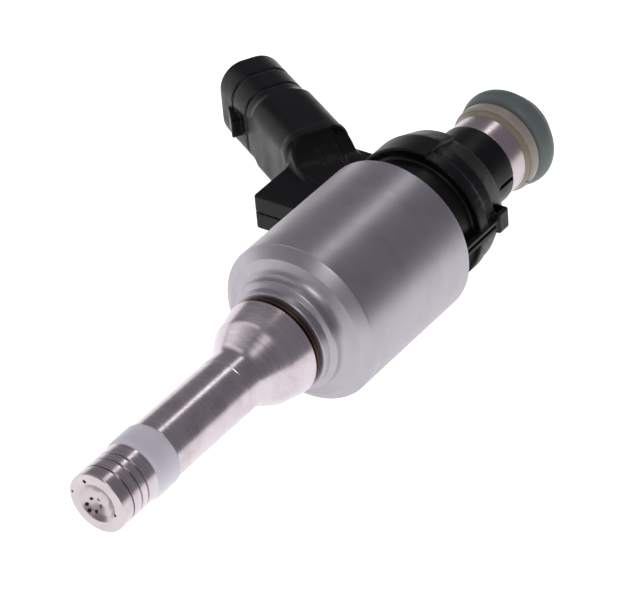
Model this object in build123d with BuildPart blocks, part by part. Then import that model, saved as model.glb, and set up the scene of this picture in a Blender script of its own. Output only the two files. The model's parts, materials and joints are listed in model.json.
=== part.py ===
from build123d import *
import math
import os

# Gasoline direct-injection injector, lying on its solenoid can and its connector.
# Y is the injector's axis: the nozzle tip points to -Y and the fuel inlet to +Y.
# The origin is on the axis, in the plane where the can's conical shoulder meets its
# cylindrical wall. Z is up, and the electrical connector points to -X, tilted down
# until it touches the surface that the can rests on.

os.makedirs("parts", exist_ok=True)

# ---------------------------------------------------------------- driving dimensions
# Overall layout
tip_reach = 38.3             # shoulder datum to the tip face
shank_radius = 3.75          # nozzle shank, fits the cylinder head's bore
can_radius = 10.3            # solenoid can
can_length = 19.8            # cylindrical wall of the can behind the shoulder
inlet_reach = 46.9           # shoulder datum to the inlet's end face

# Valve seat and tip
land_length = 1.65           # first land of the tip, part of the valve seat
land_gap = 0.2               # relief groove between the land and the nozzle tube
land_neck_radius = 3.5
tip_chamfer = 0.12
seat_spigot_radius = 2.9     # pressed into the nozzle tube
seat_length = 4.8
dish_radius = 2.45           # dished recess in the tip face
dish_floor_radius = 2.3
dish_depth = 0.45
ball_radius = 1.5
ball_station = 3.0           # tip face to the centre of the closed ball
seat_half_angle = 45.0
seat_gap = 0.004             # closed ball to seat, so that the two solids stay apart
sac_radius = 0.55
guide_bore_radius = 2.2      # pocket for the ball guide disc
ball_guide_thickness = 0.6
slide_clearance = 0.03       # radial clearance of every sliding fit
flow_hole_radius = 0.27
flow_hole_count = 6
spray_hole_count = 6
spray_hole_radius = 0.11
spray_step_radius = 0.2      # wider outer step of each spray hole
spray_step_depth = 0.25
spray_ring_radius = 0.76      # ring of hole outlets, set off-centre in the dish
spray_ring_x = -0.85
spray_ring_z = -1.15
pit_count = 3                # shallow location pits on the tip face
pit_radius = 0.16
pit_depth = 0.15
pit_circle_radius = 2.95

# Nozzle tube
tip_groove_stations = (3.2, 4.35)    # relief grooves, from the tip face
tip_groove_width = 0.3
tip_groove_depth = 0.2
seal_station = 6.15          # tip face to the combustion seal's front edge
seal_length = 3.75
seal_end_gap = 0.12
seal_groove_radius = 3.25
seal_radius = 3.97
seal_lead = 0.5              # length of the seal's tapered front edge
needle_bore_radius = 2.25
mark_ring_station = 23.4     # fine turned ring on the shank
mark_ring_width = 0.25
mark_ring_depth = 0.05
flare_start = 26.0           # tip face to the start of the flare
flare_end = 29.1
bulge_end = 32.6
flare_radius = 5.55
bulge_radius = 6.3
flare_blend = 2.2
rear_bore_radius = 3.2       # wider fuel space behind the flare
spigot_radius = 5.4          # nozzle tube's rear spigot, pressed into the can
spigot_end = 38.5
guide_seat_station = 36.0    # tip face to the floor of the rear counterbore

# Spacer ring in the gap between nozzle tube and can
spacer_gap = 1.2
spacer_hub_radius = 5.75
spacer_rim_radius = 6.12
spacer_rim_width = 0.34

# Solenoid can
collar_radius = 6.5          # front collar
collar_length = 1.1
collar_step_length = 0.35
collar_rear_radius = 7.15
face_drop = 1.6              # shoulder datum to the inner edge of the front face
face_edge_radius = 8.95
face_edge_drop = 1.12        # shoulder datum to the outer edge of the front face
collar_blend = 1.1
can_wall = 1.3
plate_length = 2.7           # shoulder datum to the coil space
rear_edge_round = 0.25

# Valve group
sleeve_radius = 4.6          # thin non-magnetic sleeve round armature and pole core
sleeve_wall = 0.5
sleeve_end = 19.2            # shoulder datum to the sleeve's rear end
needle_radius = 0.95
needle_top = 8.3             # shoulder datum to the needle's rear end
guide_disc_thickness = 1.0
guide_disc_holes = 6
guide_disc_hole_radius = 0.5
lower_stop_radius = 1.9
lower_stop_thickness = 0.9
armature_station = 2.62      # shoulder datum to the armature's front face
armature_length = 4.2
armature_holes = 4
armature_hole_radius = 0.45
armature_hole_circle = 2.75
needle_lift = 0.08           # opening stroke of the needle
armature_float = 0.05        # free travel of the armature on the needle
air_gap = 0.03               # left between armature and pole core when fully open
stop_gap = 0.01              # parts that meet at rest, so that the solids stay apart
upper_stop_radius = 2.05
upper_stop_thickness = 0.8
damping_pocket_radius = 1.6
damping_pocket_depth = 1.5
damping_wire = 0.26
damping_turns = 4
core_bore_radius = 2.3
closing_spring_length = 9.0
closing_wire = 0.5
closing_turns = 8
adjuster_length = 2.4
adjuster_bore_radius = 1.2

# Solenoid coil
bobbin_wall = 0.6
bobbin_clearance = 0.1
bobbin_flange = 0.9
bobbin_flange_radius = 8.7
winding_radius = 8.3
coil_length = 12.3
cover_thickness = 2.0

# Inlet tube and filter
inlet_bore_radius = 2.2
inlet_flange_radius = 5.25
inlet_flange_rear = 1.4      # thickness of the foot flange behind the sleeve
inlet_neck_radius = 4.0
inlet_land_start = 37.3      # steel land that shows above the plastic neck
inlet_land_end = 40.1
ring_groove_radius = 2.95
inlet_lip_radius = 4.85
inlet_lip_length = 0.7
support_ring_length = 0.75
support_ring_radius = 5.6
backup_ring_length = 1.4
backup_ring_radius = 5.85
backup_ring_lead = 0.35
backup_split_angle = -16.0    # from the side away from the connector
backup_split_width = 0.22
o_ring_section = 3.5
filter_head_length = 1.4
filter_length = 9.0
filter_head_bore = 1.55
filter_basket_radius = 1.7
filter_post_count = 4
filter_post_width = 0.6
filter_mesh_wall = 0.12

# Moulded rear body
body_foot_radius = 9.95
body_foot_length = 0.8
barrel_radius = 8.9
rim_start = 24.5             # shoulder datum to the rim's front face
rim_end = 28.0
cone_end = 31.0
cone_radius = 7.95
shoulder_radius = 7.3
neck_start = 32.2
neck_radius = 5.38
window_floor_radius = 7.9
window_first_angle = 9.0     # from the side away from the connector
window_last_angle = 150.0
rib_slot_width = 0.45
lug_width = 3.6
lug_reach = 9.25
lug_start = 26.7
lug_length = 2.9
lug_slot_width = 1.5
lug_slot_height = 0.95
neck_slot_width = 0.35
neck_slot_depth = 0.5
neck_slot_length = 3.1

# Electrical connector
connector_lean = 30.0        # away from square to the axis, towards the inlet
connector_station = 18.2     # where its centre line crosses the injector's axis
connector_reach = 39.2       # along its centre line, to the mouth
connector_half_height = 5.4
connector_half_width = 4.2
connector_corner = 3.4
connector_wall = 1.1
connector_root = 19.0        # along the centre line, where the tube leaves the root
socket_depth = 12.5
mouth_round = 0.45
band_start = 31.4            # shallow rings round the tube, along the centre line
band_end = 35.3
band_groove_width = 0.3
band_groove_depth = 0.14
latch_height = 1.35
latch_half_width = 1.35
latch_start = 32.7
latch_end = 36.2
root_half_height = 3.0
root_rear = 31.0             # shoulder datum to the root's rear face
root_front = 21.6
keel_front = 16.2
keel_reach = 18.0            # from the injector's axis
keel_half_height = 2.4
keel_clearance = 0.15
rib_height = 0.45
rib_width = 0.6
terminal_pitch = 3.6
terminal_width = 1.0
terminal_thickness = 0.6
terminal_radius = 7.0        # from the injector's axis, inside the body
terminal_tip = 33.0          # along the connector's centre line

# ---------------------------------------------------------------- derived places
tip_y = -tip_reach
ball_y = tip_y + ball_station
tube_front_y = tip_y + land_length + land_gap
seat_end_y = tip_y + seat_length
seal_front_y = tip_y + seal_station
bulge_end_y = tip_y + bulge_end
collar_front_y = bulge_end_y + spacer_gap
spigot_end_y = tip_y + spigot_end
guide_seat_y = tip_y + guide_seat_station
sleeve_front_y = guide_seat_y + guide_disc_thickness
sleeve_bore_radius = sleeve_radius - sleeve_wall
coil_space_radius = can_radius - can_wall
coil_front_y = plate_length + bobbin_clearance
cover_front_y = coil_front_y + coil_length
cover_rear_y = cover_front_y + cover_thickness
armature_rear_y = armature_station + armature_length
core_front_y = armature_rear_y + needle_lift + armature_float + air_gap
upper_stop_y = armature_rear_y + armature_float
closing_spring_y = upper_stop_y + upper_stop_thickness + needle_lift + stop_gap
adjuster_y = closing_spring_y + closing_spring_length
lower_stop_y = armature_station - stop_gap - lower_stop_thickness
inlet_flange_end = sleeve_end + inlet_flange_rear
ring_groove_end_y = inlet_reach - inlet_lip_length
support_ring_end_y = inlet_land_end + support_ring_length
backup_ring_end_y = support_ring_end_y + backup_ring_length
neck_end_y = inlet_land_start

# The can and the connector touch the same flat surface, which sets the roll.
lean = math.radians(connector_lean)
mouth_radius_from_axis = (
    connector_reach * math.cos(lean)
    + (connector_half_width - connector_corner) * math.sin(lean)
)
rest_roll = math.degrees(
    math.asin(can_radius / math.hypot(mouth_radius_from_axis, connector_half_height))
    - math.atan2(connector_half_height, mouth_radius_from_axis)
)

# Planes of the connector: its middle plane holds the injector's axis.
outward = Vector(-1, 0, 0).rotate(Axis.Y, -rest_roll)
upward = Vector(0, 0, 1).rotate(Axis.Y, -rest_roll)
along_axis = Vector(0, 1, 0)
connector_direction = outward * math.cos(lean) + along_axis * math.sin(lean)
middle_plane = Plane(origin=(0, 0, 0), x_dir=outward, z_dir=upward * -1)


def connector_section(distance):
    """Plane square to the connector's centre line, its x running up."""
    origin = along_axis * connector_station + connector_direction * distance
    return Plane(origin=origin, x_dir=upward, z_dir=connector_direction)


def body_section(station):
    """Plane square to the injector's axis, its x running out to the connector."""
    return Plane(origin=(0, station, 0), x_dir=outward, z_dir=along_axis)


def half_plane(angle):
    """Plane through the axis, at an angle up from the side away from the connector."""
    turn = math.radians(angle)
    direction = upward * math.sin(turn) - outward * math.cos(turn)
    return Plane(origin=(0, 0, 0), x_dir=direction, z_dir=direction.cross(along_axis))


def on_connector(distance, offset):
    """Middle-plane point at a distance along the connector and an offset to the rear."""
    return (
        distance * math.cos(lean) - offset * math.sin(lean),
        connector_station + distance * math.sin(lean) + offset * math.cos(lean),
    )


def turned(outline, rounds=()):
    """Revolves a closed (radius, station) outline about the injector's axis."""
    with BuildSketch(Plane.XY) as profile:
        with BuildLine():
            Polyline(*outline, close=True)
        make_face()
        for corner, radius in rounds:
            fillet(profile.vertices().sort_by_distance(corner)[0], radius=radius)
    revolve(profile.sketch, axis=Axis.Y)


def axial_plane(station):
    """Plane square to the injector's axis; its x is X, its y is -Z."""
    return Plane(origin=(0, station, 0), x_dir=(1, 0, 0), z_dir=(0, 1, 0))


def coil(station, length, mean_radius, wire_radius, turns):
    """Sweeps a wire into a helical spring along the injector's axis."""
    start = station + wire_radius
    height = length - 2 * wire_radius
    with BuildLine():
        path = Helix(
            pitch=height / turns,
            height=height,
            radius=mean_radius,
            center=(0, start, 0),
            direction=(0, 1, 0),
        )
    with BuildSketch(Plane(origin=path @ 0, z_dir=path % 0)) as wire:
        Circle(wire_radius)
    sweep(wire.sketch, path=path)


# ---------------------------------------------------------------- nozzle
# Valve seat: first land of the tip, dished face, spray holes and conical seat.
seat_apex_y = ball_y - (ball_radius + seat_gap) / math.sin(math.radians(seat_half_angle))
cone_top_radius = ball_radius
cone_top_y = seat_apex_y + cone_top_radius / math.tan(math.radians(seat_half_angle))
sac_y = seat_apex_y + sac_radius / math.tan(math.radians(seat_half_angle))
guide_floor_y = ball_y - ball_guide_thickness / 2
spray_ring_centre = Vector(spray_ring_x, tip_y + dish_depth, spray_ring_z)
with BuildPart() as valve_seat:
    turned(
        [
            (0, tip_y + dish_depth),
            (dish_floor_radius, tip_y + dish_depth),
            (dish_radius, tip_y),
            (shank_radius - tip_chamfer, tip_y),
            (shank_radius, tip_y + tip_chamfer),
            (shank_radius, tip_y + land_length),
            (land_neck_radius, tip_y + land_length),
            (land_neck_radius, tube_front_y),
            (seat_spigot_radius, tube_front_y),
            (seat_spigot_radius, seat_end_y),
            (guide_bore_radius, seat_end_y),
            (guide_bore_radius, guide_floor_y),
            (cone_top_radius, guide_floor_y),
            (cone_top_radius, cone_top_y),
            (sac_radius, sac_y),
            (0, sac_y),
        ]
    )
    for spray_index in range(spray_hole_count):
        spray_turn = 2 * math.pi * spray_index / spray_hole_count
        spray_spread = Vector(math.cos(spray_turn), 0, math.sin(spray_turn))
        spray_outlet = spray_ring_centre + spray_spread * spray_ring_radius
        spray_inlet = Vector(0, sac_y, 0) + spray_spread * (sac_radius / 2)
        spray_path = spray_inlet - spray_outlet
        with BuildSketch(Plane(origin=spray_outlet, z_dir=spray_path)) as spray:
            Circle(spray_hole_radius)
        extrude(spray.sketch, amount=spray_path.length, mode=Mode.SUBTRACT)
        with BuildSketch(Plane(origin=spray_outlet, z_dir=spray_path)) as spray_step:
            Circle(spray_step_radius)
        extrude(spray_step.sketch, amount=spray_step_depth, both=True, mode=Mode.SUBTRACT)
    with BuildSketch(axial_plane(tip_y)) as pits:
        with PolarLocations(pit_circle_radius, pit_count, start_angle=10):
            Circle(pit_radius)
    extrude(pits.sketch, amount=pit_depth, mode=Mode.SUBTRACT)
valve_seat.part.label = "valve_seat"
export_step(valve_seat.part, "parts/valve_seat.step")

# Ball guide: a pierced disc that keeps the ball on the seat's centre line.
with BuildPart() as ball_guide:
    with BuildSketch(axial_plane(guide_floor_y)) as disc:
        Circle(guide_bore_radius)
        Circle(ball_radius + slide_clearance, mode=Mode.SUBTRACT)
        with PolarLocations(guide_bore_radius - flow_hole_radius / 2, flow_hole_count):
            Circle(flow_hole_radius, mode=Mode.SUBTRACT)
    extrude(disc.sketch, amount=ball_guide_thickness)
ball_guide.part.label = "ball_guide"
export_step(ball_guide.part, "parts/ball_guide.step")

# Valve ball, welded to the needle on a small flat.
weld_flat_y = ball_y + math.sqrt(ball_radius**2 - needle_radius**2)
with BuildPart() as valve_ball:
    with Locations((0, ball_y, 0)):
        Sphere(ball_radius)
    split(bisect_by=axial_plane(weld_flat_y), keep=Keep.BOTTOM)
valve_ball.part.label = "valve_ball"
export_step(valve_ball.part, "parts/valve_ball.step")

# Needle rod.
with BuildPart() as needle_rod:
    turned(
        [
            (0, weld_flat_y),
            (needle_radius, weld_flat_y),
            (needle_radius, needle_top),
            (0, needle_top),
        ]
    )
    fillet(needle_rod.edges().sort_by(Axis.Y)[-1], radius=needle_radius / 4)
needle_rod.part.label = "needle_rod"
export_step(needle_rod.part, "parts/needle_rod.step")

# Nozzle tube: grooved tip, seal groove, long shank, flare and rear spigot.
with BuildPart() as nozzle_tube:
    turned(
        [
            (seat_spigot_radius, tube_front_y),
            (shank_radius, tube_front_y),
            (shank_radius, tip_y + flare_start),
            (flare_radius, tip_y + flare_end),
            (bulge_radius, bulge_end_y),
            (spigot_radius, bulge_end_y),
            (spigot_radius, spigot_end_y),
            (sleeve_radius, spigot_end_y),
            (sleeve_radius, guide_seat_y),
            (rear_bore_radius, guide_seat_y),
            (rear_bore_radius, tip_y + flare_end),
            (needle_bore_radius, tip_y + flare_start),
            (needle_bore_radius, seat_end_y),
            (seat_spigot_radius, seat_end_y),
        ],
        rounds=[
            ((shank_radius, tip_y + flare_start), flare_blend),
            ((flare_radius, tip_y + flare_end), flare_blend),
            ((bulge_radius, bulge_end_y), 0.12),
        ],
    )
    for groove_station in tip_groove_stations:
        with BuildSketch(axial_plane(tip_y + groove_station)) as groove:
            Circle(shank_radius + 1)
            Circle(shank_radius - tip_groove_depth, mode=Mode.SUBTRACT)
        extrude(groove.sketch, amount=tip_groove_width / 2, both=True, mode=Mode.SUBTRACT)
    with BuildSketch(axial_plane(seal_front_y)) as seal_groove:
        Circle(shank_radius + 1)
        Circle(seal_groove_radius, mode=Mode.SUBTRACT)
    extrude(seal_groove.sketch, amount=seal_length + seal_end_gap, mode=Mode.SUBTRACT)
    with BuildSketch(axial_plane(tip_y + mark_ring_station)) as mark_ring:
        Circle(shank_radius + 1)
        Circle(shank_radius - mark_ring_depth, mode=Mode.SUBTRACT)
    extrude(mark_ring.sketch, amount=mark_ring_width / 2, both=True, mode=Mode.SUBTRACT)
nozzle_tube.part.label = "nozzle_tube"
export_step(nozzle_tube.part, "parts/nozzle_tube.step")

# Combustion seal: a plastic ring in the groove behind the tip.
with BuildPart() as combustion_seal:
    turned(
        [
            (seal_groove_radius, seal_front_y),
            (shank_radius, seal_front_y),
            (seal_radius, seal_front_y + seal_lead),
            (seal_radius, seal_front_y + seal_length),
            (seal_groove_radius, seal_front_y + seal_length),
        ],
        rounds=[
            ((seal_radius, seal_front_y + seal_lead), 0.4),
            ((seal_radius, seal_front_y + seal_length), 0.12),
        ],
    )
combustion_seal.part.label = "combustion_seal"
export_step(combustion_seal.part, "parts/combustion_seal.step")

# Spacer ring: sets the gap between the nozzle tube's bulge and the can's collar.
spacer_middle_y = bulge_end_y + spacer_gap / 2
with BuildPart() as spacer_ring:
    turned(
        [
            (spigot_radius, bulge_end_y),
            (spacer_hub_radius, bulge_end_y),
            (spacer_hub_radius, spacer_middle_y - spacer_rim_width / 2),
            (spacer_rim_radius, spacer_middle_y - spacer_rim_width / 2),
            (spacer_rim_radius, spacer_middle_y + spacer_rim_width / 2),
            (spacer_hub_radius, spacer_middle_y + spacer_rim_width / 2),
            (spacer_hub_radius, collar_front_y),
            (spigot_radius, collar_front_y),
        ]
    )
spacer_ring.part.label = "spacer_ring"
export_step(spacer_ring.part, "parts/spacer_ring.step")

# ---------------------------------------------------------------- valve group
# Needle guide: a pierced disc in the nozzle tube's rear counterbore.
with BuildPart() as needle_guide:
    with BuildSketch(axial_plane(guide_seat_y)) as guide_disc:
        Circle(sleeve_radius)
        Circle(needle_radius + slide_clearance, mode=Mode.SUBTRACT)
        with PolarLocations((needle_radius + rear_bore_radius) / 2, guide_disc_holes):
            Circle(guide_disc_hole_radius, mode=Mode.SUBTRACT)
    extrude(guide_disc.sketch, amount=guide_disc_thickness)
needle_guide.part.label = "needle_guide"
export_step(needle_guide.part, "parts/needle_guide.step")

# Valve sleeve: thin non-magnetic tube that seals the fuel from the coil.
with BuildPart() as valve_sleeve:
    with BuildSketch(axial_plane(sleeve_front_y)) as sleeve_ring:
        Circle(sleeve_radius)
        Circle(sleeve_bore_radius, mode=Mode.SUBTRACT)
    extrude(sleeve_ring.sketch, amount=sleeve_end - sleeve_front_y)
valve_sleeve.part.label = "valve_sleeve"
export_step(valve_sleeve.part, "parts/valve_sleeve.step")

# Lower stop: a collar on the needle, in front of the armature.
with BuildPart() as lower_stop:
    with BuildSketch(axial_plane(lower_stop_y)) as lower_stop_ring:
        Circle(lower_stop_radius)
        Circle(needle_radius, mode=Mode.SUBTRACT)
    extrude(lower_stop_ring.sketch, amount=lower_stop_thickness)
    chamfer(lower_stop.edges().group_by(Axis.Y)[0].sort_by(SortBy.LENGTH)[-1], length=0.25)
lower_stop.part.label = "lower_stop"
export_step(lower_stop.part, "parts/lower_stop.step")

# Armature: slides on the needle between its two stops.
with BuildPart() as armature:
    with BuildSketch(axial_plane(armature_station)) as armature_face:
        Circle(sleeve_bore_radius - slide_clearance)
        Circle(needle_radius + slide_clearance, mode=Mode.SUBTRACT)
        with PolarLocations(armature_hole_circle, armature_holes):
            Circle(armature_hole_radius, mode=Mode.SUBTRACT)
    extrude(armature_face.sketch, amount=armature_length)
    with BuildSketch(axial_plane(armature_rear_y)) as damping_pocket:
        Circle(damping_pocket_radius)
    extrude(damping_pocket.sketch, amount=-damping_pocket_depth, mode=Mode.SUBTRACT)
armature.part.label = "armature"
export_step(armature.part, "parts/armature.step")

# Damping spring: in the armature's pocket, against the upper stop.
damping_mean_radius = (needle_radius + damping_pocket_radius) / 2
with BuildPart() as damping_spring:
    coil(
        armature_rear_y - damping_pocket_depth + stop_gap,
        damping_pocket_depth - 2 * stop_gap,
        damping_mean_radius,
        damping_wire / 2,
        damping_turns,
    )
damping_spring.part.label = "damping_spring"
export_step(damping_spring.part, "parts/damping_spring.step")

# Upper stop: the needle's head, which the closing spring pushes on.
with BuildPart() as upper_stop:
    turned(
        [
            (needle_radius, upper_stop_y),
            (upper_stop_radius, upper_stop_y),
            (upper_stop_radius, upper_stop_y + upper_stop_thickness),
            (needle_radius, upper_stop_y + upper_stop_thickness),
        ],
        rounds=[((upper_stop_radius, upper_stop_y + upper_stop_thickness), 0.15)],
    )
upper_stop.part.label = "upper_stop"
export_step(upper_stop.part, "parts/upper_stop.step")

# Pole core: fixed magnetic core behind the armature, bored for spring and fuel.
with BuildPart() as pole_core:
    with BuildSketch(axial_plane(core_front_y)) as core_ring:
        Circle(sleeve_bore_radius)
        Circle(core_bore_radius, mode=Mode.SUBTRACT)
    extrude(core_ring.sketch, amount=sleeve_end - core_front_y)
pole_core.part.label = "pole_core"
export_step(pole_core.part, "parts/pole_core.step")

# Closing spring: in the pole core's bore, between upper stop and adjusting tube.
closing_mean_radius = core_bore_radius - slide_clearance - 0.1 - closing_wire / 2
with BuildPart() as closing_spring:
    coil(
        closing_spring_y,
        closing_spring_length - stop_gap,
        closing_mean_radius,
        closing_wire / 2,
        closing_turns,
    )
closing_spring.part.label = "closing_spring"
export_step(closing_spring.part, "parts/closing_spring.step")

# Adjusting tube: pressed into the core's bore, sets the spring's preload.
with BuildPart() as adjusting_tube:
    with BuildSketch(axial_plane(adjuster_y)) as adjuster_ring:
        Circle(core_bore_radius)
        Circle(adjuster_bore_radius, mode=Mode.SUBTRACT)
    extrude(adjuster_ring.sketch, amount=adjuster_length)
adjusting_tube.part.label = "adjusting_tube"
export_step(adjusting_tube.part, "parts/adjusting_tube.step")

# ---------------------------------------------------------------- solenoid
# Solenoid can: stepped collar, blended front face, conical shoulder and plain wall.
with BuildPart() as solenoid_can:
    collar_step_y = collar_front_y + collar_length
    turned(
        [
            (spigot_radius, collar_front_y),
            (collar_radius, collar_front_y),
            (collar_radius, collar_step_y),
            (collar_rear_radius, collar_step_y + collar_step_length),
            (collar_rear_radius, -face_drop),
            (face_edge_radius, -face_edge_drop),
            (can_radius, 0),
            (can_radius, can_length),
            (coil_space_radius, can_length),
            (coil_space_radius, plate_length),
            (sleeve_radius, plate_length),
            (sleeve_radius, spigot_end_y),
            (spigot_radius, spigot_end_y),
        ],
        rounds=[
            ((collar_radius, collar_front_y), 0.25),
            ((collar_rear_radius, collar_step_y + collar_step_length), 0.3),
            ((collar_rear_radius, -face_drop), collar_blend),
            ((face_edge_radius, -face_edge_drop), 0.2),
            ((can_radius, can_length), rear_edge_round),
        ],
    )
solenoid_can.part.label = "solenoid_can"
export_step(solenoid_can.part, "parts/solenoid_can.step")

# Coil bobbin: a flanged plastic reel over the valve sleeve.
bobbin_bore_radius = sleeve_radius + bobbin_clearance
bobbin_hub_radius = bobbin_bore_radius + bobbin_wall
with BuildPart() as coil_bobbin:
    turned(
        [
            (bobbin_bore_radius, coil_front_y),
            (bobbin_flange_radius, coil_front_y),
            (bobbin_flange_radius, coil_front_y + bobbin_flange),
            (bobbin_hub_radius, coil_front_y + bobbin_flange),
            (bobbin_hub_radius, cover_front_y - bobbin_flange),
            (bobbin_flange_radius, cover_front_y - bobbin_flange),
            (bobbin_flange_radius, cover_front_y),
            (bobbin_bore_radius, cover_front_y),
        ]
    )
coil_bobbin.part.label = "coil_bobbin"
export_step(coil_bobbin.part, "parts/coil_bobbin.step")

# Coil winding: the enamelled wire's whole bundle.
with BuildPart() as coil_winding:
    turned(
        [
            (bobbin_hub_radius, coil_front_y + bobbin_flange),
            (winding_radius, coil_front_y + bobbin_flange),
            (winding_radius, cover_front_y - bobbin_flange),
            (bobbin_hub_radius, cover_front_y - bobbin_flange),
        ],
        rounds=[
            ((winding_radius, coil_front_y + bobbin_flange), 0.3),
            ((winding_radius, cover_front_y - bobbin_flange), 0.3),
        ],
    )
coil_winding.part.label = "coil_winding"
export_step(coil_winding.part, "parts/coil_winding.step")

# Pole cover: magnetic disc that closes the can, slotted for the terminals.
with BuildPart() as pole_cover:
    with BuildSketch(body_section(cover_front_y)) as cover_disc:
        Circle(coil_space_radius)
        Circle(sleeve_radius, mode=Mode.SUBTRACT)
        with Locations((terminal_radius, 0)):
            Rectangle(
                2 * terminal_thickness,
                terminal_pitch + 2 * terminal_width,
                mode=Mode.SUBTRACT,
            )
    extrude(cover_disc.sketch, amount=cover_thickness)
pole_cover.part.label = "pole_cover"
export_step(pole_cover.part, "parts/pole_cover.step")

# ---------------------------------------------------------------- inlet
# Inlet tube: foot flange, neck inside the moulding, steel land, seal groove and lip.
with BuildPart() as inlet_tube:
    turned(
        [
            (sleeve_radius, cover_rear_y),
            (inlet_flange_radius, cover_rear_y),
            (inlet_flange_radius, inlet_flange_end),
            (inlet_neck_radius, inlet_flange_end),
            (inlet_neck_radius, inlet_land_start),
            (inlet_flange_radius, inlet_land_start),
            (inlet_flange_radius, inlet_land_end),
            (ring_groove_radius, inlet_land_end),
            (ring_groove_radius, ring_groove_end_y),
            (inlet_lip_radius, ring_groove_end_y),
            (inlet_lip_radius, inlet_reach),
            (inlet_bore_radius, inlet_reach),
            (inlet_bore_radius, sleeve_end),
            (sleeve_radius, sleeve_end),
        ],
        rounds=[((inlet_lip_radius, inlet_reach), 0.2)],
    )
inlet_tube.part.label = "inlet_tube"
export_step(inlet_tube.part, "parts/inlet_tube.step")

# Support ring: tapered ring behind the steel land.
with BuildPart() as support_ring:
    turned(
        [
            (ring_groove_radius, inlet_land_end),
            (inlet_flange_radius, inlet_land_end),
            (support_ring_radius, support_ring_end_y),
            (ring_groove_radius, support_ring_end_y),
        ]
    )
support_ring.part.label = "support_ring"
export_step(support_ring.part, "parts/support_ring.step")

# Back-up ring: split plastic ring that keeps the inlet seal from being pushed out.
with BuildPart() as backup_ring:
    turned(
        [
            (ring_groove_radius, support_ring_end_y),
            (support_ring_radius, support_ring_end_y),
            (backup_ring_radius, support_ring_end_y + backup_ring_lead),
            (backup_ring_radius, backup_ring_end_y),
            (ring_groove_radius, backup_ring_end_y),
        ]
    )
    with BuildSketch(half_plane(backup_split_angle)) as split_cut:
        Rectangle(
            backup_ring_radius + 1,
            backup_ring_end_y + 1,
            align=(Align.MIN, Align.MIN),
        )
    extrude(split_cut.sketch, amount=backup_split_width / 2, both=True, mode=Mode.SUBTRACT)
backup_ring.part.label = "backup_ring"
export_step(backup_ring.part, "parts/backup_ring.step")

# Inlet seal: the rubber ring that seals in the fuel rail's cup.
with BuildPart() as inlet_seal:
    seal_middle_y = (backup_ring_end_y + ring_groove_end_y) / 2
    with BuildSketch(Plane.XY) as seal_section:
        with Locations((ring_groove_radius + o_ring_section / 2, seal_middle_y)):
            Circle(o_ring_section / 2)
    revolve(seal_section.sketch, axis=Axis.Y)
inlet_seal.part.label = "inlet_seal"
export_step(inlet_seal.part, "parts/inlet_seal.step")

# Inlet filter: a plastic frame with a head ring, posts and a closed end.
filter_end_y = inlet_reach - filter_length
filter_cap_length = filter_post_width
with BuildPart() as filter_frame:
    with BuildSketch(axial_plane(inlet_reach)) as filter_head:
        Circle(inlet_bore_radius)
        Circle(filter_head_bore, mode=Mode.SUBTRACT)
    extrude(filter_head.sketch, amount=-filter_head_length)
    with BuildSketch(axial_plane(filter_end_y)) as filter_posts:
        with PolarLocations((filter_head_bore + filter_basket_radius) / 2, filter_post_count):
            Rectangle(filter_basket_radius - filter_head_bore + 0.1, filter_post_width)
    extrude(filter_posts.sketch, amount=filter_length - filter_head_length)
    with BuildSketch(axial_plane(filter_end_y)) as filter_cap:
        Circle(filter_basket_radius + 0.05)
    extrude(filter_cap.sketch, amount=filter_cap_length)
filter_frame.part.label = "filter_frame"
export_step(filter_frame.part, "parts/filter_frame.step")

# Filter mesh: fine woven sleeve inside the frame's posts.
filter_mesh_radius = filter_head_bore - 0.05
with BuildPart() as filter_mesh:
    with BuildSketch(axial_plane(filter_end_y + filter_cap_length)) as mesh_ring:
        Circle(filter_mesh_radius)
        Circle(filter_mesh_radius - filter_mesh_wall, mode=Mode.SUBTRACT)
    extrude(mesh_ring.sketch, amount=filter_length - filter_cap_length - filter_head_length / 2)
filter_mesh.part.label = "filter_mesh"
export_step(filter_mesh.part, "parts/filter_mesh.step")

# ---------------------------------------------------------------- terminals
# Two bent blades, from the coil through the cover's slot into the socket.
terminal_bend = terminal_radius / math.cos(lean)
terminal_parts = {}
for terminal_name, side in (("terminal_upper", 1), ("terminal_lower", -1)):
    middle = side * terminal_pitch / 2
    with BuildPart() as terminal:
        with BuildSketch(middle_plane.offset(-middle)) as blade:
            with BuildLine() as blade_line:
                Polyline(
                    (terminal_radius, cover_front_y),
                    on_connector(terminal_bend, 0),
                    on_connector(terminal_tip, 0),
                )
            trace(blade_line.line, terminal_thickness)
        extrude(blade.sketch, amount=terminal_width / 2, both=True)
    terminal.part.label = terminal_name
    export_step(terminal.part, "parts/" + terminal_name + ".step")
    terminal_parts[terminal_name] = terminal.part

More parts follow.
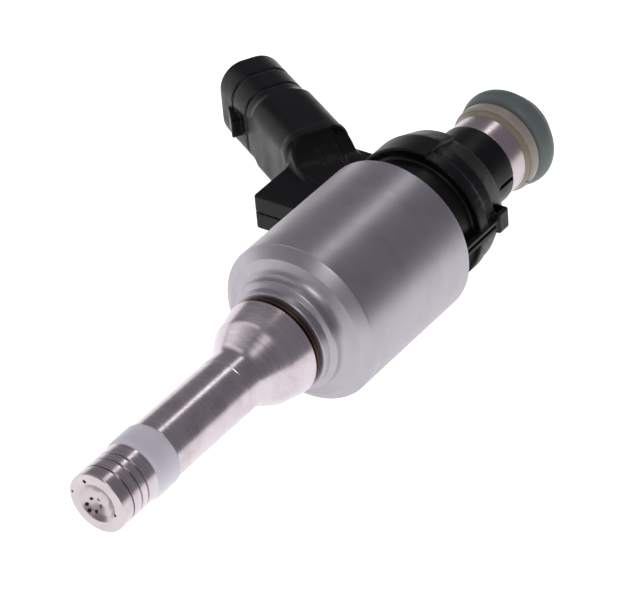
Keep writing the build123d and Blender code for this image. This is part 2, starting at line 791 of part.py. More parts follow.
# ---------------------------------------------------------------- moulded body
# Overmould: rear body with windows and ribs, plastic neck and connector, one moulding.
foot_end_y = can_length + body_foot_length
window_centre_y = (foot_end_y + rim_start) / 2
with BuildPart() as overmould:
    turned(
        [
            (inlet_flange_radius, cover_rear_y),
            (coil_space_radius, cover_rear_y),
            (coil_space_radius, can_length),
            (body_foot_radius, can_length),
            (body_foot_radius, foot_end_y),
            (barrel_radius, foot_end_y),
            (barrel_radius, rim_end),
            (cone_radius, cone_end),
            (shoulder_radius, cone_end),
            (neck_radius, neck_start),
            (neck_radius, neck_end_y),
            (inlet_neck_radius, neck_end_y),
            (inlet_neck_radius, inlet_flange_end),
            (inlet_flange_radius, inlet_flange_end),
        ],
        rounds=[
            ((neck_radius, neck_start), 0.8),
            ((neck_radius, neck_end_y), 0.2),
            ((barrel_radius, rim_end), 0.3),
        ],
    )
    for first_angle in (window_last_angle, -window_first_angle):
        with BuildSketch(half_plane(first_angle)) as window:
            with Locations(((window_floor_radius + can_radius) / 2, window_centre_y)):
                Rectangle(can_radius - window_floor_radius, rim_start - foot_end_y)
        revolve(
            window.sketch,
            axis=Axis.Y,
            revolution_arc=window_last_angle - window_first_angle,
            mode=Mode.SUBTRACT,
        )
    with BuildSketch(body_section(foot_end_y)) as rib_slot:
        with Locations((-can_radius, 0)):
            Rectangle(2 * (can_radius - window_floor_radius), rib_slot_width)
    extrude(rib_slot.sketch, amount=rim_start - foot_end_y, mode=Mode.SUBTRACT)
    # Snap lug on the side away from the connector, with a slot through it.
    with BuildSketch(body_section(lug_start)) as lug:
        with Locations((-(lug_reach + neck_radius) / 2, 0)):
            Rectangle(lug_reach - neck_radius, lug_width)
    extrude(lug.sketch, amount=lug_length)
    with BuildSketch(middle_plane) as lug_slot:
        with Locations((-(lug_reach - lug_slot_height), lug_start + lug_length / 2)):
            Rectangle(lug_slot_height, lug_slot_width)
    extrude(lug_slot.sketch, amount=lug_width, both=True, mode=Mode.SUBTRACT)
    # Keel below the connector, clear of the can's wall.
    with BuildSketch(body_section(keel_front)) as keel:
        Rectangle(keel_reach, 2 * keel_half_height, align=(Align.MIN, Align.CENTER))
        Circle(can_radius + keel_clearance, mode=Mode.SUBTRACT)
    keel_end = on_connector(connector_root, -connector_half_width)[1] + connector_wall
    extrude(keel.sketch, amount=keel_end - keel_front)
    # Root block between the rear body and the connector tube.
    with BuildSketch(middle_plane) as root:
        with BuildLine():
            Polyline(
                (neck_radius, root_front),
                (body_foot_radius, root_front),
                on_connector(connector_root, -connector_half_width + connector_wall),
                on_connector(connector_root, connector_half_width - connector_wall),
                (on_connector(connector_root, connector_half_width)[0], root_rear),
                (neck_radius, root_rear),
                close=True,
            )
        make_face()
    extrude(root.sketch, amount=root_half_height, both=True)
    # Stiffening ribs on the root's upper and lower faces.
    with BuildSketch(middle_plane) as ribs:
        for rib_offset in (-rib_width - rib_height, rib_width + 2 * rib_height):
            with BuildLine():
                Polyline(
                    on_connector(barrel_radius + rib_width, rib_offset - rib_width / 2),
                    on_connector(connector_root, rib_offset - rib_width / 2),
                    on_connector(connector_root, rib_offset + rib_width / 2),
                    on_connector(barrel_radius + rib_width, rib_offset + rib_width / 2),
                    close=True,
                )
            make_face()
    extrude(ribs.sketch, amount=root_half_height + rib_height, both=True)
    # Connector tube with a rounded mouth.
    with BuildSketch(connector_section(connector_root)) as tube:
        RectangleRounded(
            2 * connector_half_height, 2 * connector_half_width, connector_corner
        )
    extrude(tube.sketch, amount=connector_reach - connector_root)
    mouth_axis = Axis((0, 0, 0), connector_direction)
    fillet(overmould.edges().group_by(mouth_axis)[-1], radius=mouth_round)
    for band_station in (band_start, band_end):
        with BuildSketch(connector_section(band_station)) as band:
            RectangleRounded(
                2 * connector_half_height + 1,
                2 * connector_half_width + 1,
                connector_corner + 0.5,
            )
            RectangleRounded(
                2 * (connector_half_height - band_groove_depth),
                2 * (connector_half_width - band_groove_depth),
                connector_corner - band_groove_depth,
                mode=Mode.SUBTRACT,
            )
        extrude(band.sketch, amount=-band_groove_width, mode=Mode.SUBTRACT)
    # Latch wedge for the plug, steep towards the root.
    with BuildSketch(middle_plane) as latch:
        with BuildLine():
            Polyline(
                on_connector(latch_start, -connector_half_width + connector_wall / 2),
                on_connector(latch_start, -connector_half_width - latch_height),
                on_connector(latch_end, -connector_half_width - latch_height / 4),
                on_connector(latch_end, -connector_half_width + connector_wall / 2),
                close=True,
            )
        make_face()
    extrude(latch.sketch, amount=latch_half_width, both=True)
    # Plug socket.
    with BuildSketch(connector_section(connector_reach)) as socket:
        RectangleRounded(
            2 * (connector_half_height - connector_wall),
            2 * (connector_half_width - connector_wall),
            connector_corner - connector_wall,
        )
    extrude(socket.sketch, amount=-socket_depth, mode=Mode.SUBTRACT)
    # Parting slot at the end of the neck.
    with BuildSketch(body_section(neck_end_y)) as neck_slot:
        with Locations((-neck_radius, 0)):
            Rectangle(2 * neck_slot_depth, neck_slot_width)
    extrude(neck_slot.sketch, amount=-neck_slot_length, mode=Mode.SUBTRACT)
    for terminal_part in terminal_parts.values():
        add(terminal_part, mode=Mode.SUBTRACT)
overmould.part.label = "overmould"
export_step(overmould.part, "parts/overmould.step")
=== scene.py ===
import json
import math
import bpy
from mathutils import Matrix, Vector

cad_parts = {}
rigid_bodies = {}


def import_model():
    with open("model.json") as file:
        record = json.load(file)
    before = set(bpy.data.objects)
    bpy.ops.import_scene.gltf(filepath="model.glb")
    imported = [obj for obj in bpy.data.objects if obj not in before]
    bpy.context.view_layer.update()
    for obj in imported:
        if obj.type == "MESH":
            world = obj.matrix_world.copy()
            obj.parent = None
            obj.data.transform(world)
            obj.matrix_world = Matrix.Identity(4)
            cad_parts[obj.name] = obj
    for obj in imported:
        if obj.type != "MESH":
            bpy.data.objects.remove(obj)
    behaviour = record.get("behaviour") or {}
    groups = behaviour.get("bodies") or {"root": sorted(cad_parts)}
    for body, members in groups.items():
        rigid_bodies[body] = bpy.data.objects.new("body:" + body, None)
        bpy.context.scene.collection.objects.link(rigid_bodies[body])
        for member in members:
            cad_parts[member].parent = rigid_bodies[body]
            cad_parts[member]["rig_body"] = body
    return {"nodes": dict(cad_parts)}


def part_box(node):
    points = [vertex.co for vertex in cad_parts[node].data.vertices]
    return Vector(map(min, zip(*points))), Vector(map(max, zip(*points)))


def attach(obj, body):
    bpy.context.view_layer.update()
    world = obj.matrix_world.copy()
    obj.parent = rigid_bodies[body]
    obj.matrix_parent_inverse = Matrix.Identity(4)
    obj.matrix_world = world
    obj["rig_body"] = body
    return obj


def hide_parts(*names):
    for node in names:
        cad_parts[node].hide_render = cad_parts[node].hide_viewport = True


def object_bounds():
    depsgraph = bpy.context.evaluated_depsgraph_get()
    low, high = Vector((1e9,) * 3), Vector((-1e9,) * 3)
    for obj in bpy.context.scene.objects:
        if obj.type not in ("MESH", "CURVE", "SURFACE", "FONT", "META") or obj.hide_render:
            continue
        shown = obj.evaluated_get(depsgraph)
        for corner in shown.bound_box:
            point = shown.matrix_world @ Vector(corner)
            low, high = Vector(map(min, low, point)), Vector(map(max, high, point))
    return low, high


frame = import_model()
from types import SimpleNamespace

import bmesh
import bpy
import numpy as np
from bpy.props import FloatProperty, FloatVectorProperty, IntProperty, PointerProperty
from mathutils import Matrix, Vector

bl_info = {
    "name": "Fuel injector",
    "version": (1, 0, 0),
    "blender": (4, 5, 0),
    "location": "3D View > Sidebar > Injector",
    "description": "Builds a direct-injection fuel injector round its CAD frame",
    "category": "Object",
}

MM = 0.001
TURN_SEGMENTS = 256          # facets round a turned piece
FILM_TINT = (0.55, 0.47, 0.45)  # what a baked-on brown film leaves of the metal's colour
RING_SHADE = 0.06            # how far the rings of a turned face darken it
PIECE_LIMIT = 190000         # triangles in one piece
CAD_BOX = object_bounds()
NODES = frame["nodes"]

# Sizes that pieces share, in millimetres: radii, lengths from the tip face, and
# stations from the shoulder datum.
SEAT_SPIGOT = 2.9            # radius of the valve seat's spigot
SEAT_LENGTH = 4.8            # tip face to the valve seat's rear end
LAND_GAP = 0.2               # between the first land and the nozzle tube
SEAL_GROOVE = 3.25           # radius of the combustion seal's groove
TUBE_SPIGOT = 5.4            # radius of the nozzle tube's rear spigot
SLEEVE_RADIUS = 4.6          # outside of the thin inner sleeve
SLEEVE_END = 19.2            # its rear end
CAN_FLOOR_FRONT = 0.2        # front of the can's inner floor
CAN_FLOOR_REAR = 2.7
COIL_SPACE = 9.0             # radius of the can's bore round the coil
COIL_BORE = 5.3              # radius inside the winding
FLANGE_FRONT = 17.1          # foot flange of the inlet tube
FLANGE_REAR = 20.6
RINGS_START = 40.1           # rings in the inlet's groove, front to rear
SUPPORT_END = 40.85
BACKUP_END = 42.25
LIP_LENGTH = 0.7             # lip behind the rubber ring


# ---------------------------------------------------------------- settings
def length(label, millimetres, words):
    """A length setting, given in millimetres and kept in metres."""
    return FloatProperty(
        name=label, description=words, default=millimetres * MM, unit="LENGTH", precision=5
    )


def linear(colour):
    """Turns an sRGB hex colour into linear red, green and blue."""
    channels = [int(colour[i : i + 2], 16) / 255 for i in (1, 3, 5)]
    return [c / 12.92 if c <= 0.04045 else ((c + 0.055) / 1.055) ** 2.4 for c in channels]


def colour(label, hex_value, words):
    """A colour setting, given as an sRGB hex value."""
    return FloatVectorProperty(
        name=label,
        description=words,
        default=linear(hex_value),
        subtype="COLOR",
        size=3,
        min=0,
        max=1,
    )


class NozzleSizes(bpy.types.PropertyGroup):
    """Sizes of the tip, the nozzle tube and the combustion seal."""

    tip_reach: length("Tip reach", 38.3, "Shoulder datum to the tip face")
    shank_radius: length("Shank radius", 3.75, "Radius of the nozzle shank")
    land_length: length("Land length", 1.65, "Length of the tip's first land")
    dish_radius: length("Dish radius", 2.45, "Radius of the dished tip face")
    dish_depth: length("Dish depth", 1.05, "Depth of the dished tip face")
    seal_station: length("Seal station", 6.15, "Tip face to the combustion seal")
    seal_length: length("Seal length", 3.75, "Length of the combustion seal")
    seal_radius: length("Seal radius", 3.97, "Radius of the combustion seal")
    flare_start: length("Flare start", 26.0, "Tip face to the start of the flare")
    flare_end: length("Flare end", 29.1, "Tip face to the end of the flare")
    flare_radius: length("Flare radius", 5.55, "Radius where the flare ends")
    bulge_end: length("Bulge end", 32.6, "Tip face to the end of the bulge")
    bulge_radius: length("Bulge radius", 6.3, "Radius at the end of the bulge")
    hole_count: IntProperty(
        name="Spray holes", description="Number of spray holes", default=6, min=3, max=12
    )


class CanSizes(bpy.types.PropertyGroup):
    """Sizes of the solenoid can."""

    radius: length("Can radius", 10.3, "Radius of the can's wall")
    wall_length: length("Wall length", 19.8, "Length of the can's plain wall")
    collar_radius: length("Collar radius", 6.5, "Radius of the front collar")
    collar_rear: length("Rear collar radius", 7.15, "Radius of the collar's rear step")
    face_radius: length("Face radius", 8.95, "Outer radius of the front face")
    face_drop: length("Face drop", 1.12, "Shoulder datum to the front face's edge")


class BodySizes(bpy.types.PropertyGroup):
    """Sizes of the moulded rear body."""

    barrel_radius: length("Barrel radius", 8.9, "Radius of the moulded barrel")
    neck_radius: length("Neck radius", 5.38, "Radius of the plastic neck")
    neck_end: length("Neck end", 37.3, "Shoulder datum to the end of the neck")
    window_depth: length("Window depth", 1.0, "Depth of the barrel's windows")
    lug_reach: length("Lug reach", 9.25, "Axis to the outside of the snap lug")
    grid: length("Mesh cell", 0.15, "Cell size of the moulded body's mesh")


class ConnectorSizes(bpy.types.PropertyGroup):
    """Sizes of the electrical connector."""

    lean: FloatProperty(
        name="Lean",
        description="Angle away from square to the injector's axis",
        default=math.radians(30),
        subtype="ANGLE",
    )
    station: length("Station", 18.2, "Where its centre line crosses the axis")
    reach: length("Reach", 39.2, "Length along its centre line to the mouth")
    half_height: length("Half height", 5.4, "Half the connector's height")
    half_width: length("Half width", 4.2, "Half the connector's width")
    corner: length("Corner radius", 3.4, "Rounding of the connector's section")
    wall: length("Socket wall", 1.1, "Wall thickness round the socket")
    socket_depth: length("Socket depth", 12.5, "Depth of the plug socket")


class InletSizes(bpy.types.PropertyGroup):
    """Sizes of the fuel inlet and its rings."""

    reach: length("Inlet reach", 46.9, "Shoulder datum to the inlet's end face")
    land_radius: length("Land radius", 5.25, "Radius of the steel land")
    lip_radius: length("Lip radius", 4.85, "Radius of the end lip")
    groove_radius: length("Groove radius", 2.95, "Radius of the ring groove's floor")
    bore_radius: length("Bore radius", 2.2, "Radius of the fuel bore")
    ring_section: length("Ring section", 3.5, "Thickness of the rubber ring")


class FinishColours(bpy.types.PropertyGroup):
    """Colours of the visible finishes."""

    tip: colour("Tip steel", "#c6bdbf", "Bright turned steel of the tip face")
    nozzle: colour("Nozzle steel", "#cbc2c7", "Ground steel of the nozzle tube")
    can: colour("Can steel", "#b1adb3", "Satin ground steel of the can")
    inlet: colour("Inlet steel", "#c4b8bb", "Turned steel of the inlet")
    seal: colour("Seal", "#dedbe4", "Filled white plastic of the combustion seal")
    spacer: colour("Spacer", "#5a4238", "Dark oxide on the spacer ring")
    nylon: colour("Nylon", "#050507", "Black glass-filled nylon")
    rubber: colour("Rubber", "#626b68", "Green-grey rubber of the inlet seal")
    backup: colour("Back-up ring", "#9d9488", "Cream plastic of the back-up ring")
    support: colour("Support ring", "#8d856f", "Olive plastic of the support ring")


class StageSettings(bpy.types.PropertyGroup):
    """Camera, floor and lights."""

    azimuth: FloatProperty(
        name="Azimuth",
        description="Direction of the camera round the vertical",
        default=math.radians(34.65),
        subtype="ANGLE",
    )
    elevation: FloatProperty(
        name="Elevation",
        description="Angle of the camera above the floor",
        default=math.radians(37.9),
        subtype="ANGLE",
    )
    roll: FloatProperty(
        name="Roll",
        description="Turn of the whole view about the injector's axis",
        default=math.radians(-3.0),
        subtype="ANGLE",
    )
    distance: length("Distance", 424.5, "Camera to the point that it looks at")
    floor_glow: FloatProperty(
        name="Floor glow", description="Brightness of the backlit floor", default=0.95
    )
    strip_power: FloatProperty(
        name="Strip power", description="Power of the strip light, in watts", default=0.5
    )
    ridge_power: FloatProperty(
        name="Ridge power",
        description="Power of the narrow light over the inlet, in watts",
        default=0.13,
    )
    fill_power: FloatProperty(
        name="Fill power", description="Power of the front light, in watts", default=0.6
    )
    surroundings: FloatVectorProperty(
        name="Surroundings",
        description="Colour of the dim room round the floor",
        default=(0.22, 0.21, 0.235),
        subtype="COLOR",
        size=3,
    )
    focal: FloatProperty(
        name="Focal length",
        description="Focal length for a 36 mm sensor, in millimetres",
        default=210.05,
    )


class InjectorSettings(bpy.types.PropertyGroup):
    """All settings of the injector."""

    nozzle: PointerProperty(type=NozzleSizes, name="Nozzle", description="Nozzle sizes")
    can: PointerProperty(type=CanSizes, name="Can", description="Can sizes")
    body: PointerProperty(type=BodySizes, name="Body", description="Moulded body sizes")
    connector: PointerProperty(
        type=ConnectorSizes, name="Connector", description="Connector sizes"
    )
    inlet: PointerProperty(type=InletSizes, name="Inlet", description="Inlet sizes")
    finish: PointerProperty(
        type=FinishColours, name="Finishes", description="Finish colours"
    )
    stage: PointerProperty(
        type=StageSettings, name="Stage", description="Camera and floor"
    )


def in_mm(group):
    """The length settings of a group in millimetres, under the same names."""
    values = SimpleNamespace()
    for name, kind in group.bl_rna.properties.items():
        if kind.type == "FLOAT" and kind.unit == "LENGTH":
            setattr(values, name, getattr(group, name) / MM)
    return values


# ---------------------------------------------------------------- shared shapes
def rounded(corners, step=math.radians(9)):
    """Closed outline in which a corner given as (x, y, radius) becomes an arc."""
    outline = []
    for index, corner in enumerate(corners):
        here = Vector(corner[:2])
        if len(corner) < 3:
            outline.append(tuple(here))
            continue
        before = Vector(corners[index - 1][:2]) - here
        after = Vector(corners[(index + 1) % len(corners)][:2]) - here
        half = before.angle(after) / 2
        run = min(corner[2] / math.tan(half), 0.9 * before.length, 0.9 * after.length)
        before.normalize()
        after.normalize()
        radius = run * math.tan(half)
        centre = here + (before + after).normalized() * (radius / math.sin(half))
        first = here + before * run - centre
        sweep = math.pi - 2 * half
        if before.cross(after) > 0:
            sweep = -sweep
        count = max(2, math.ceil(abs(sweep) / step))
        for i in range(count + 1):
            turn = sweep * i / count
            c, s = math.cos(turn), math.sin(turn)
            outline.append(
                (centre.x + c * first.x - s * first.y, centre.y + s * first.x + c * first.y)
            )
    return outline


def new_piece(name, vertices, faces):
    """Makes a smooth-shaded mesh object from vertices in millimetres."""
    mesh = bpy.data.meshes.new(name)
    mesh.from_pydata([Vector(v) * MM for v in vertices], [], faces)
    return finished_mesh(name, mesh)


def finished_mesh(name, mesh, sharp=math.radians(32)):
    """Turns faces outwards, marks sharp edges and puts the mesh into the scene."""
    work = bmesh.new()
    work.from_mesh(mesh)
    bmesh.ops.remove_doubles(work, verts=work.verts, dist=1e-7)
    bmesh.ops.recalc_face_normals(work, faces=work.faces)
    work.to_mesh(mesh)
    work.free()
    mesh.shade_smooth()
    mesh.set_sharp_from_angle(angle=sharp)
    mesh.name = name
    piece = bpy.data.objects.new(name, mesh)
    bpy.context.scene.collection.objects.link(piece)
    return piece


def lathe(name, outline, segments=TURN_SEGMENTS):
    """Turns a closed (radius, station) outline in millimetres about the Y axis."""
    vertices, rings, faces = [], [], []
    turns = [2 * math.pi * i / segments for i in range(segments)]
    for radius, station in outline:
        if radius < 1e-6:
            rings.append([len(vertices)] * segments)
            vertices.append((0, station, 0))
            continue
        rings.append(list(range(len(vertices), len(vertices) + segments)))
        vertices.extend((radius * math.cos(a), station, radius * math.sin(a)) for a in turns)
    for k, ring in enumerate(rings):
        following = rings[(k + 1) % len(rings)]
        if ring[0] == ring[1] and following[0] == following[1]:
            continue
        for i in range(segments):
            j = (i + 1) % segments
            corners = [ring[i], ring[j], following[j], following[i]]
            faces.append(list(dict.fromkeys(corners)))
    return new_piece(name, vertices, faces)


def baked(source, name):
    """Turns an object with modifiers into a plain piece and removes the object."""
    graph = bpy.context.evaluated_depsgraph_get()
    mesh = bpy.data.meshes.new_from_object(
        source.evaluated_get(graph), preserve_all_data_layers=True, depsgraph=graph
    )
    bpy.data.objects.remove(source)
    return finished_mesh(name, mesh)


def cut_away(piece, cutters):
    """Cuts the cutters out of a piece and removes them."""
    name = piece.name
    for cutter in cutters:
        change = piece.modifiers.new("cut", "BOOLEAN")
        change.operation = "DIFFERENCE"
        change.solver = "EXACT"
        change.object = cutter
    piece.name = name + "_uncut"
    bpy.context.view_layer.update()
    made = baked(piece, name)
    for cutter in cutters:
        bpy.data.objects.remove(cutter)
    return made


def joined(name, pieces):
    """Joins pieces into one and removes them."""
    work = bmesh.new()
    for piece in pieces:
        work.from_mesh(piece.data)
        bpy.data.objects.remove(piece)
    mesh = bpy.data.meshes.new(name)
    work.to_mesh(mesh)
    work.free()
    return finished_mesh(name, mesh)


def finish_piece(piece, material, nodes, slot=None):
    """Gives a piece its material and its place in the frame."""
    piece.data.materials.clear()
    piece.data.materials.append(material)
    body = NODES[nodes[0]]["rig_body"]
    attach(piece, body)
    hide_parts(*nodes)
    return piece


# ---------------------------------------------------------------- node helpers
def add_node(tree, kind, sockets=(), **settings):
    """Adds a node, sets its properties and fills or links its inputs."""
    made = tree.nodes.new(kind)
    for name, value in settings.items():
        setattr(made, name, value)
    for key, value in dict(sockets).items():
        if isinstance(value, bpy.types.NodeSocket):
            tree.links.new(value, made.inputs[key])
        else:
            made.inputs[key].default_value = value
    return made


def geometry_tree(name, inputs):
    """Starts a Geometry Nodes tree with named inputs and one geometry output."""
    tree = bpy.data.node_groups.new(name, "GeometryNodeTree")
    face = tree.interface
    face.new_socket("Geometry", in_out="OUTPUT", socket_type="NodeSocketGeometry")
    for label, kind in inputs:
        face.new_socket(label, in_out="INPUT", socket_type="NodeSocket" + kind)
    return tree, add_node(tree, "NodeGroupInput").outputs


def end_tree(tree, geometry, material):
    """Ends a tree in Realize Instances and Set Material."""
    solid = add_node(tree, "GeometryNodeRealizeInstances", {"Geometry": geometry})
    dressed = add_node(
        tree,
        "GeometryNodeSetMaterial",
        {"Geometry": solid.outputs["Geometry"], "Material": material},
    )
    add_node(tree, "NodeGroupOutput", {"Geometry": dressed.outputs["Geometry"]})


def grown(name, tree, values):
    """Runs a Geometry Nodes tree with the values given and returns a plain piece."""
    seed = bpy.data.objects.new(name + "_seed", bpy.data.meshes.new(name + "_seed"))
    bpy.context.scene.collection.objects.link(seed)
    change = seed.modifiers.new("grow", "NODES")
    change.node_group = tree
    for item in tree.interface.items_tree:
        if item.in_out == "INPUT" and item.name in values:
            change[item.identifier] = values[item.name]
    return baked(seed, name)


# ---------------------------------------------------------------- finishes
def start_finish(name, base, metallic, roughness, **constants):
    """Starts a material: its tree, its shader and Object coordinates in millimetres."""
    material = bpy.data.materials.new(name)
    material.use_nodes = True
    tree = material.node_tree
    tree.nodes.clear()
    shader = add_node(
        tree,
        "ShaderNodeBsdfPrincipled",
        {"Base Color": (*base, 1), "Metallic": metallic, "Roughness": roughness},
    )
    for key, value in constants.items():
        shader.inputs[key.replace("_", " ")].default_value = value
    add_node(tree, "ShaderNodeOutputMaterial", {"Surface": shader.outputs["BSDF"]})
    place = add_node(tree, "ShaderNodeTexCoord")
    scaled = add_node(
        tree,
        "ShaderNodeVectorMath",
        {0: place.outputs["Object"], 1: (1 / MM, 1 / MM, 1 / MM)},
        operation="MULTIPLY",
    )
    return material, tree, shader, scaled.outputs["Vector"]


def turned_steel(name, base, roughness, mark=0.35, depth=0.0003, film=0.35):
    """Turned or ground metal: rings round the axis, patchy sheen, thin brown film."""
    material, tree, shader, place = start_finish(
        name, base, 1.0, roughness, Anisotropic=0.55, Anisotropic_Rotation=0.25
    )
    # The tool leaves rings round the Y axis, on end faces as well as on walls.
    station = add_node(tree, "ShaderNodeSeparateXYZ", {"Vector": place})
    across = add_node(
        tree, "ShaderNodeVectorMath", {0: place, 1: (1, 0, 1)}, operation="MULTIPLY"
    )
    radius = add_node(
        tree, "ShaderNodeVectorMath", {0: across.outputs["Vector"]}, operation="LENGTH"
    )
    section = add_node(
        tree,
        "ShaderNodeCombineXYZ",
        {"X": radius.outputs["Value"], "Y": station.outputs["Y"]},
    )
    rings = add_node(
        tree,
        "ShaderNodeTexNoise",
        {
            "Vector": section.outputs["Vector"],
            "Scale": 1 / mark,
            "Detail": 5.0,
            "Roughness": 0.7,
        },
    )
    cloud = add_node(
        tree,
        "ShaderNodeTexNoise",
        {"Vector": place, "Scale": 0.28, "Detail": 4.0, "Roughness": 0.6},
    )
    patches = add_node(
        tree,
        "ShaderNodeMapRange",
        {
            "Value": cloud.outputs["Fac"],
            "From Min": 0.45,
            "From Max": 0.75,
            "To Max": film,
        },
    )
    tint = add_node(
        tree,
        "ShaderNodeMix",
        {
            0: patches.outputs["Result"],
            6: (*base, 1),
            7: (*[c * f for c, f in zip(base, FILM_TINT)], 1),
        },
        data_type="RGBA",
    )
    worn = add_node(
        tree,
        "ShaderNodeMix",
        {0: RING_SHADE, 6: tint.outputs[2], 7: rings.outputs["Fac"]},
        data_type="RGBA",
        blend_type="MULTIPLY",
    )
    tree.links.new(worn.outputs[2], shader.inputs["Base Color"])
    gloss = add_node(
        tree,
        "ShaderNodeMapRange",
        {
            "Value": rings.outputs["Fac"],
            "From Min": 0.3,
            "From Max": 0.7,
            "To Min": roughness - 0.03,
            "To Max": roughness + 0.07,
        },
    )
    tree.links.new(gloss.outputs["Result"], shader.inputs["Roughness"])
    # Handling marks: fine short scratches that run every way.
    scratches = add_node(
        tree,
        "ShaderNodeTexNoise",
        {"Vector": place, "Scale": 2.4, "Detail": 6.0, "Roughness": 0.85, "Distortion": 1.5},
    )
    height = add_node(
        tree,
        "ShaderNodeMath",
        {0: rings.outputs["Fac"], 1: scratches.outputs["Fac"]},
        operation="ADD",
    )
    bump = add_node(
        tree,
        "ShaderNodeBump",
        {"Height": height.outputs["Value"], "Strength": 0.3, "Distance": depth * MM},
    )
    tree.links.new(bump.outputs["Normal"], shader.inputs["Normal"])
    tangent = add_node(tree, "ShaderNodeTangent", direction_type="RADIAL", axis="Y")
    tree.links.new(tangent.outputs["Tangent"], shader.inputs["Tangent"])
    return material


def moulded_plastic(name, base, roughness, grain=0.35, depth=0.012, **constants):
    """Moulded plastic or rubber: a fine spark-eroded grain and a patchy sheen."""
    material, tree, shader, place = start_finish(name, base, 0.0, roughness, **constants)
    fine = add_node(
        tree,
        "ShaderNodeTexNoise",
        {"Vector": place, "Scale": 1 / grain, "Detail": 4.0, "Roughness": 0.65},
    )
    broad = add_node(
        tree,
        "ShaderNodeTexNoise",
        {"Vector": place, "Scale": 0.35, "Detail": 3.0, "Roughness": 0.5},
    )
    gloss = add_node(
        tree,
        "ShaderNodeMapRange",
        {
            "Value": broad.outputs["Fac"],
            "From Min": 0.3,
            "From Max": 0.7,
            "To Min": roughness - 0.08,
            "To Max": roughness + 0.1,
        },
    )
    tree.links.new(gloss.outputs["Result"], shader.inputs["Roughness"])
    shade = add_node(
        tree,
        "ShaderNodeMix",
        {
            0: broad.outputs["Fac"],
            6: (*[c * 0.85 for c in base], 1),
            7: (*[min(1, c * 1.12) for c in base], 1),
        },
        data_type="RGBA",
    )
    tree.links.new(shade.outputs[2], shader.inputs["Base Color"])
    bump = add_node(
        tree,
        "ShaderNodeBump",
        {"Height": fine.outputs["Fac"], "Strength": 0.5, "Distance": depth * MM},
    )
    tree.links.new(bump.outputs["Normal"], shader.inputs["Normal"])
    return material


# ---------------------------------------------------------------- geometry trees
def wound_wire_tree():
    """Wire wound round the Y axis: a spring or a layer of a winding."""
    tree, given = geometry_tree(
        "wound_wire",
        [
            ("Mean radius", "Float"),
            ("Wire radius", "Float"),
            ("Start", "Float"),
            ("Length", "Float"),
            ("Turns", "Float"),
            ("Material", "Material"),
        ],
    )
    helix = add_node(
        tree,
        "GeometryNodeCurveSpiral",
        {
            "Resolution": 48,
            "Rotations": given["Turns"],
            "Start Radius": given["Mean radius"],
            "End Radius": given["Mean radius"],
            "Height": given["Length"],
        },
    )
    start = add_node(tree, "ShaderNodeCombineXYZ", {"Y": given["Start"]})
    laid = add_node(
        tree,
        "GeometryNodeTransform",
        {
            "Geometry": helix.outputs["Curve"],
            "Translation": start.outputs["Vector"],
            "Rotation": (-math.pi / 2, 0, 0),
        },
    )
    section = add_node(
        tree, "GeometryNodeCurvePrimitiveCircle", {"Resolution": 10, "Radius": given["Wire radius"]}
    )
    wire = add_node(
        tree,
        "GeometryNodeCurveToMesh",
        {
            "Curve": laid.outputs["Geometry"],
            "Profile Curve": section.outputs["Curve"],
            "Fill Caps": True,
        },
    )
    end_tree(tree, wire.outputs["Mesh"], given["Material"])
    return tree


def ring_of_pins_tree():
    """Pins on a ring round the Y axis, used as cutters for holes and pits."""
    tree, given = geometry_tree(
        "ring_of_pins",
        [
            ("Count", "Int"),
            ("Ring radius", "Float"),
            ("Pin radius", "Float"),
            ("Pin length", "Float"),
            ("Centre", "Vector"),
            ("Turn", "Float"),
            ("Material", "Material"),
        ],
    )
    ring = add_node(
        tree,
        "GeometryNodeMeshCircle",
        {"Vertices": given["Count"], "Radius": given["Ring radius"]},
    )
    pin = add_node(
        tree,
        "GeometryNodeMeshCylinder",
        {"Vertices": 24, "Radius": given["Pin radius"], "Depth": given["Pin length"]},
    )
    pins = add_node(
        tree,
        "GeometryNodeInstanceOnPoints",
        {"Points": ring.outputs["Mesh"], "Instance": pin.outputs["Mesh"]},
    )
    spin = add_node(tree, "ShaderNodeCombineXYZ", {"Z": given["Turn"]})
    turned = add_node(
        tree,
        "GeometryNodeTransform",
        {"Geometry": pins.outputs["Instances"], "Rotation": spin.outputs["Vector"]},
    )
    placed = add_node(
        tree,
        "GeometryNodeTransform",
        {
            "Geometry": turned.outputs["Geometry"],
            "Translation": given["Centre"],
            "Rotation": (-math.pi / 2, 0, 0),
        },
    )
    end_tree(tree, placed.outputs["Geometry"], given["Material"])
    return tree


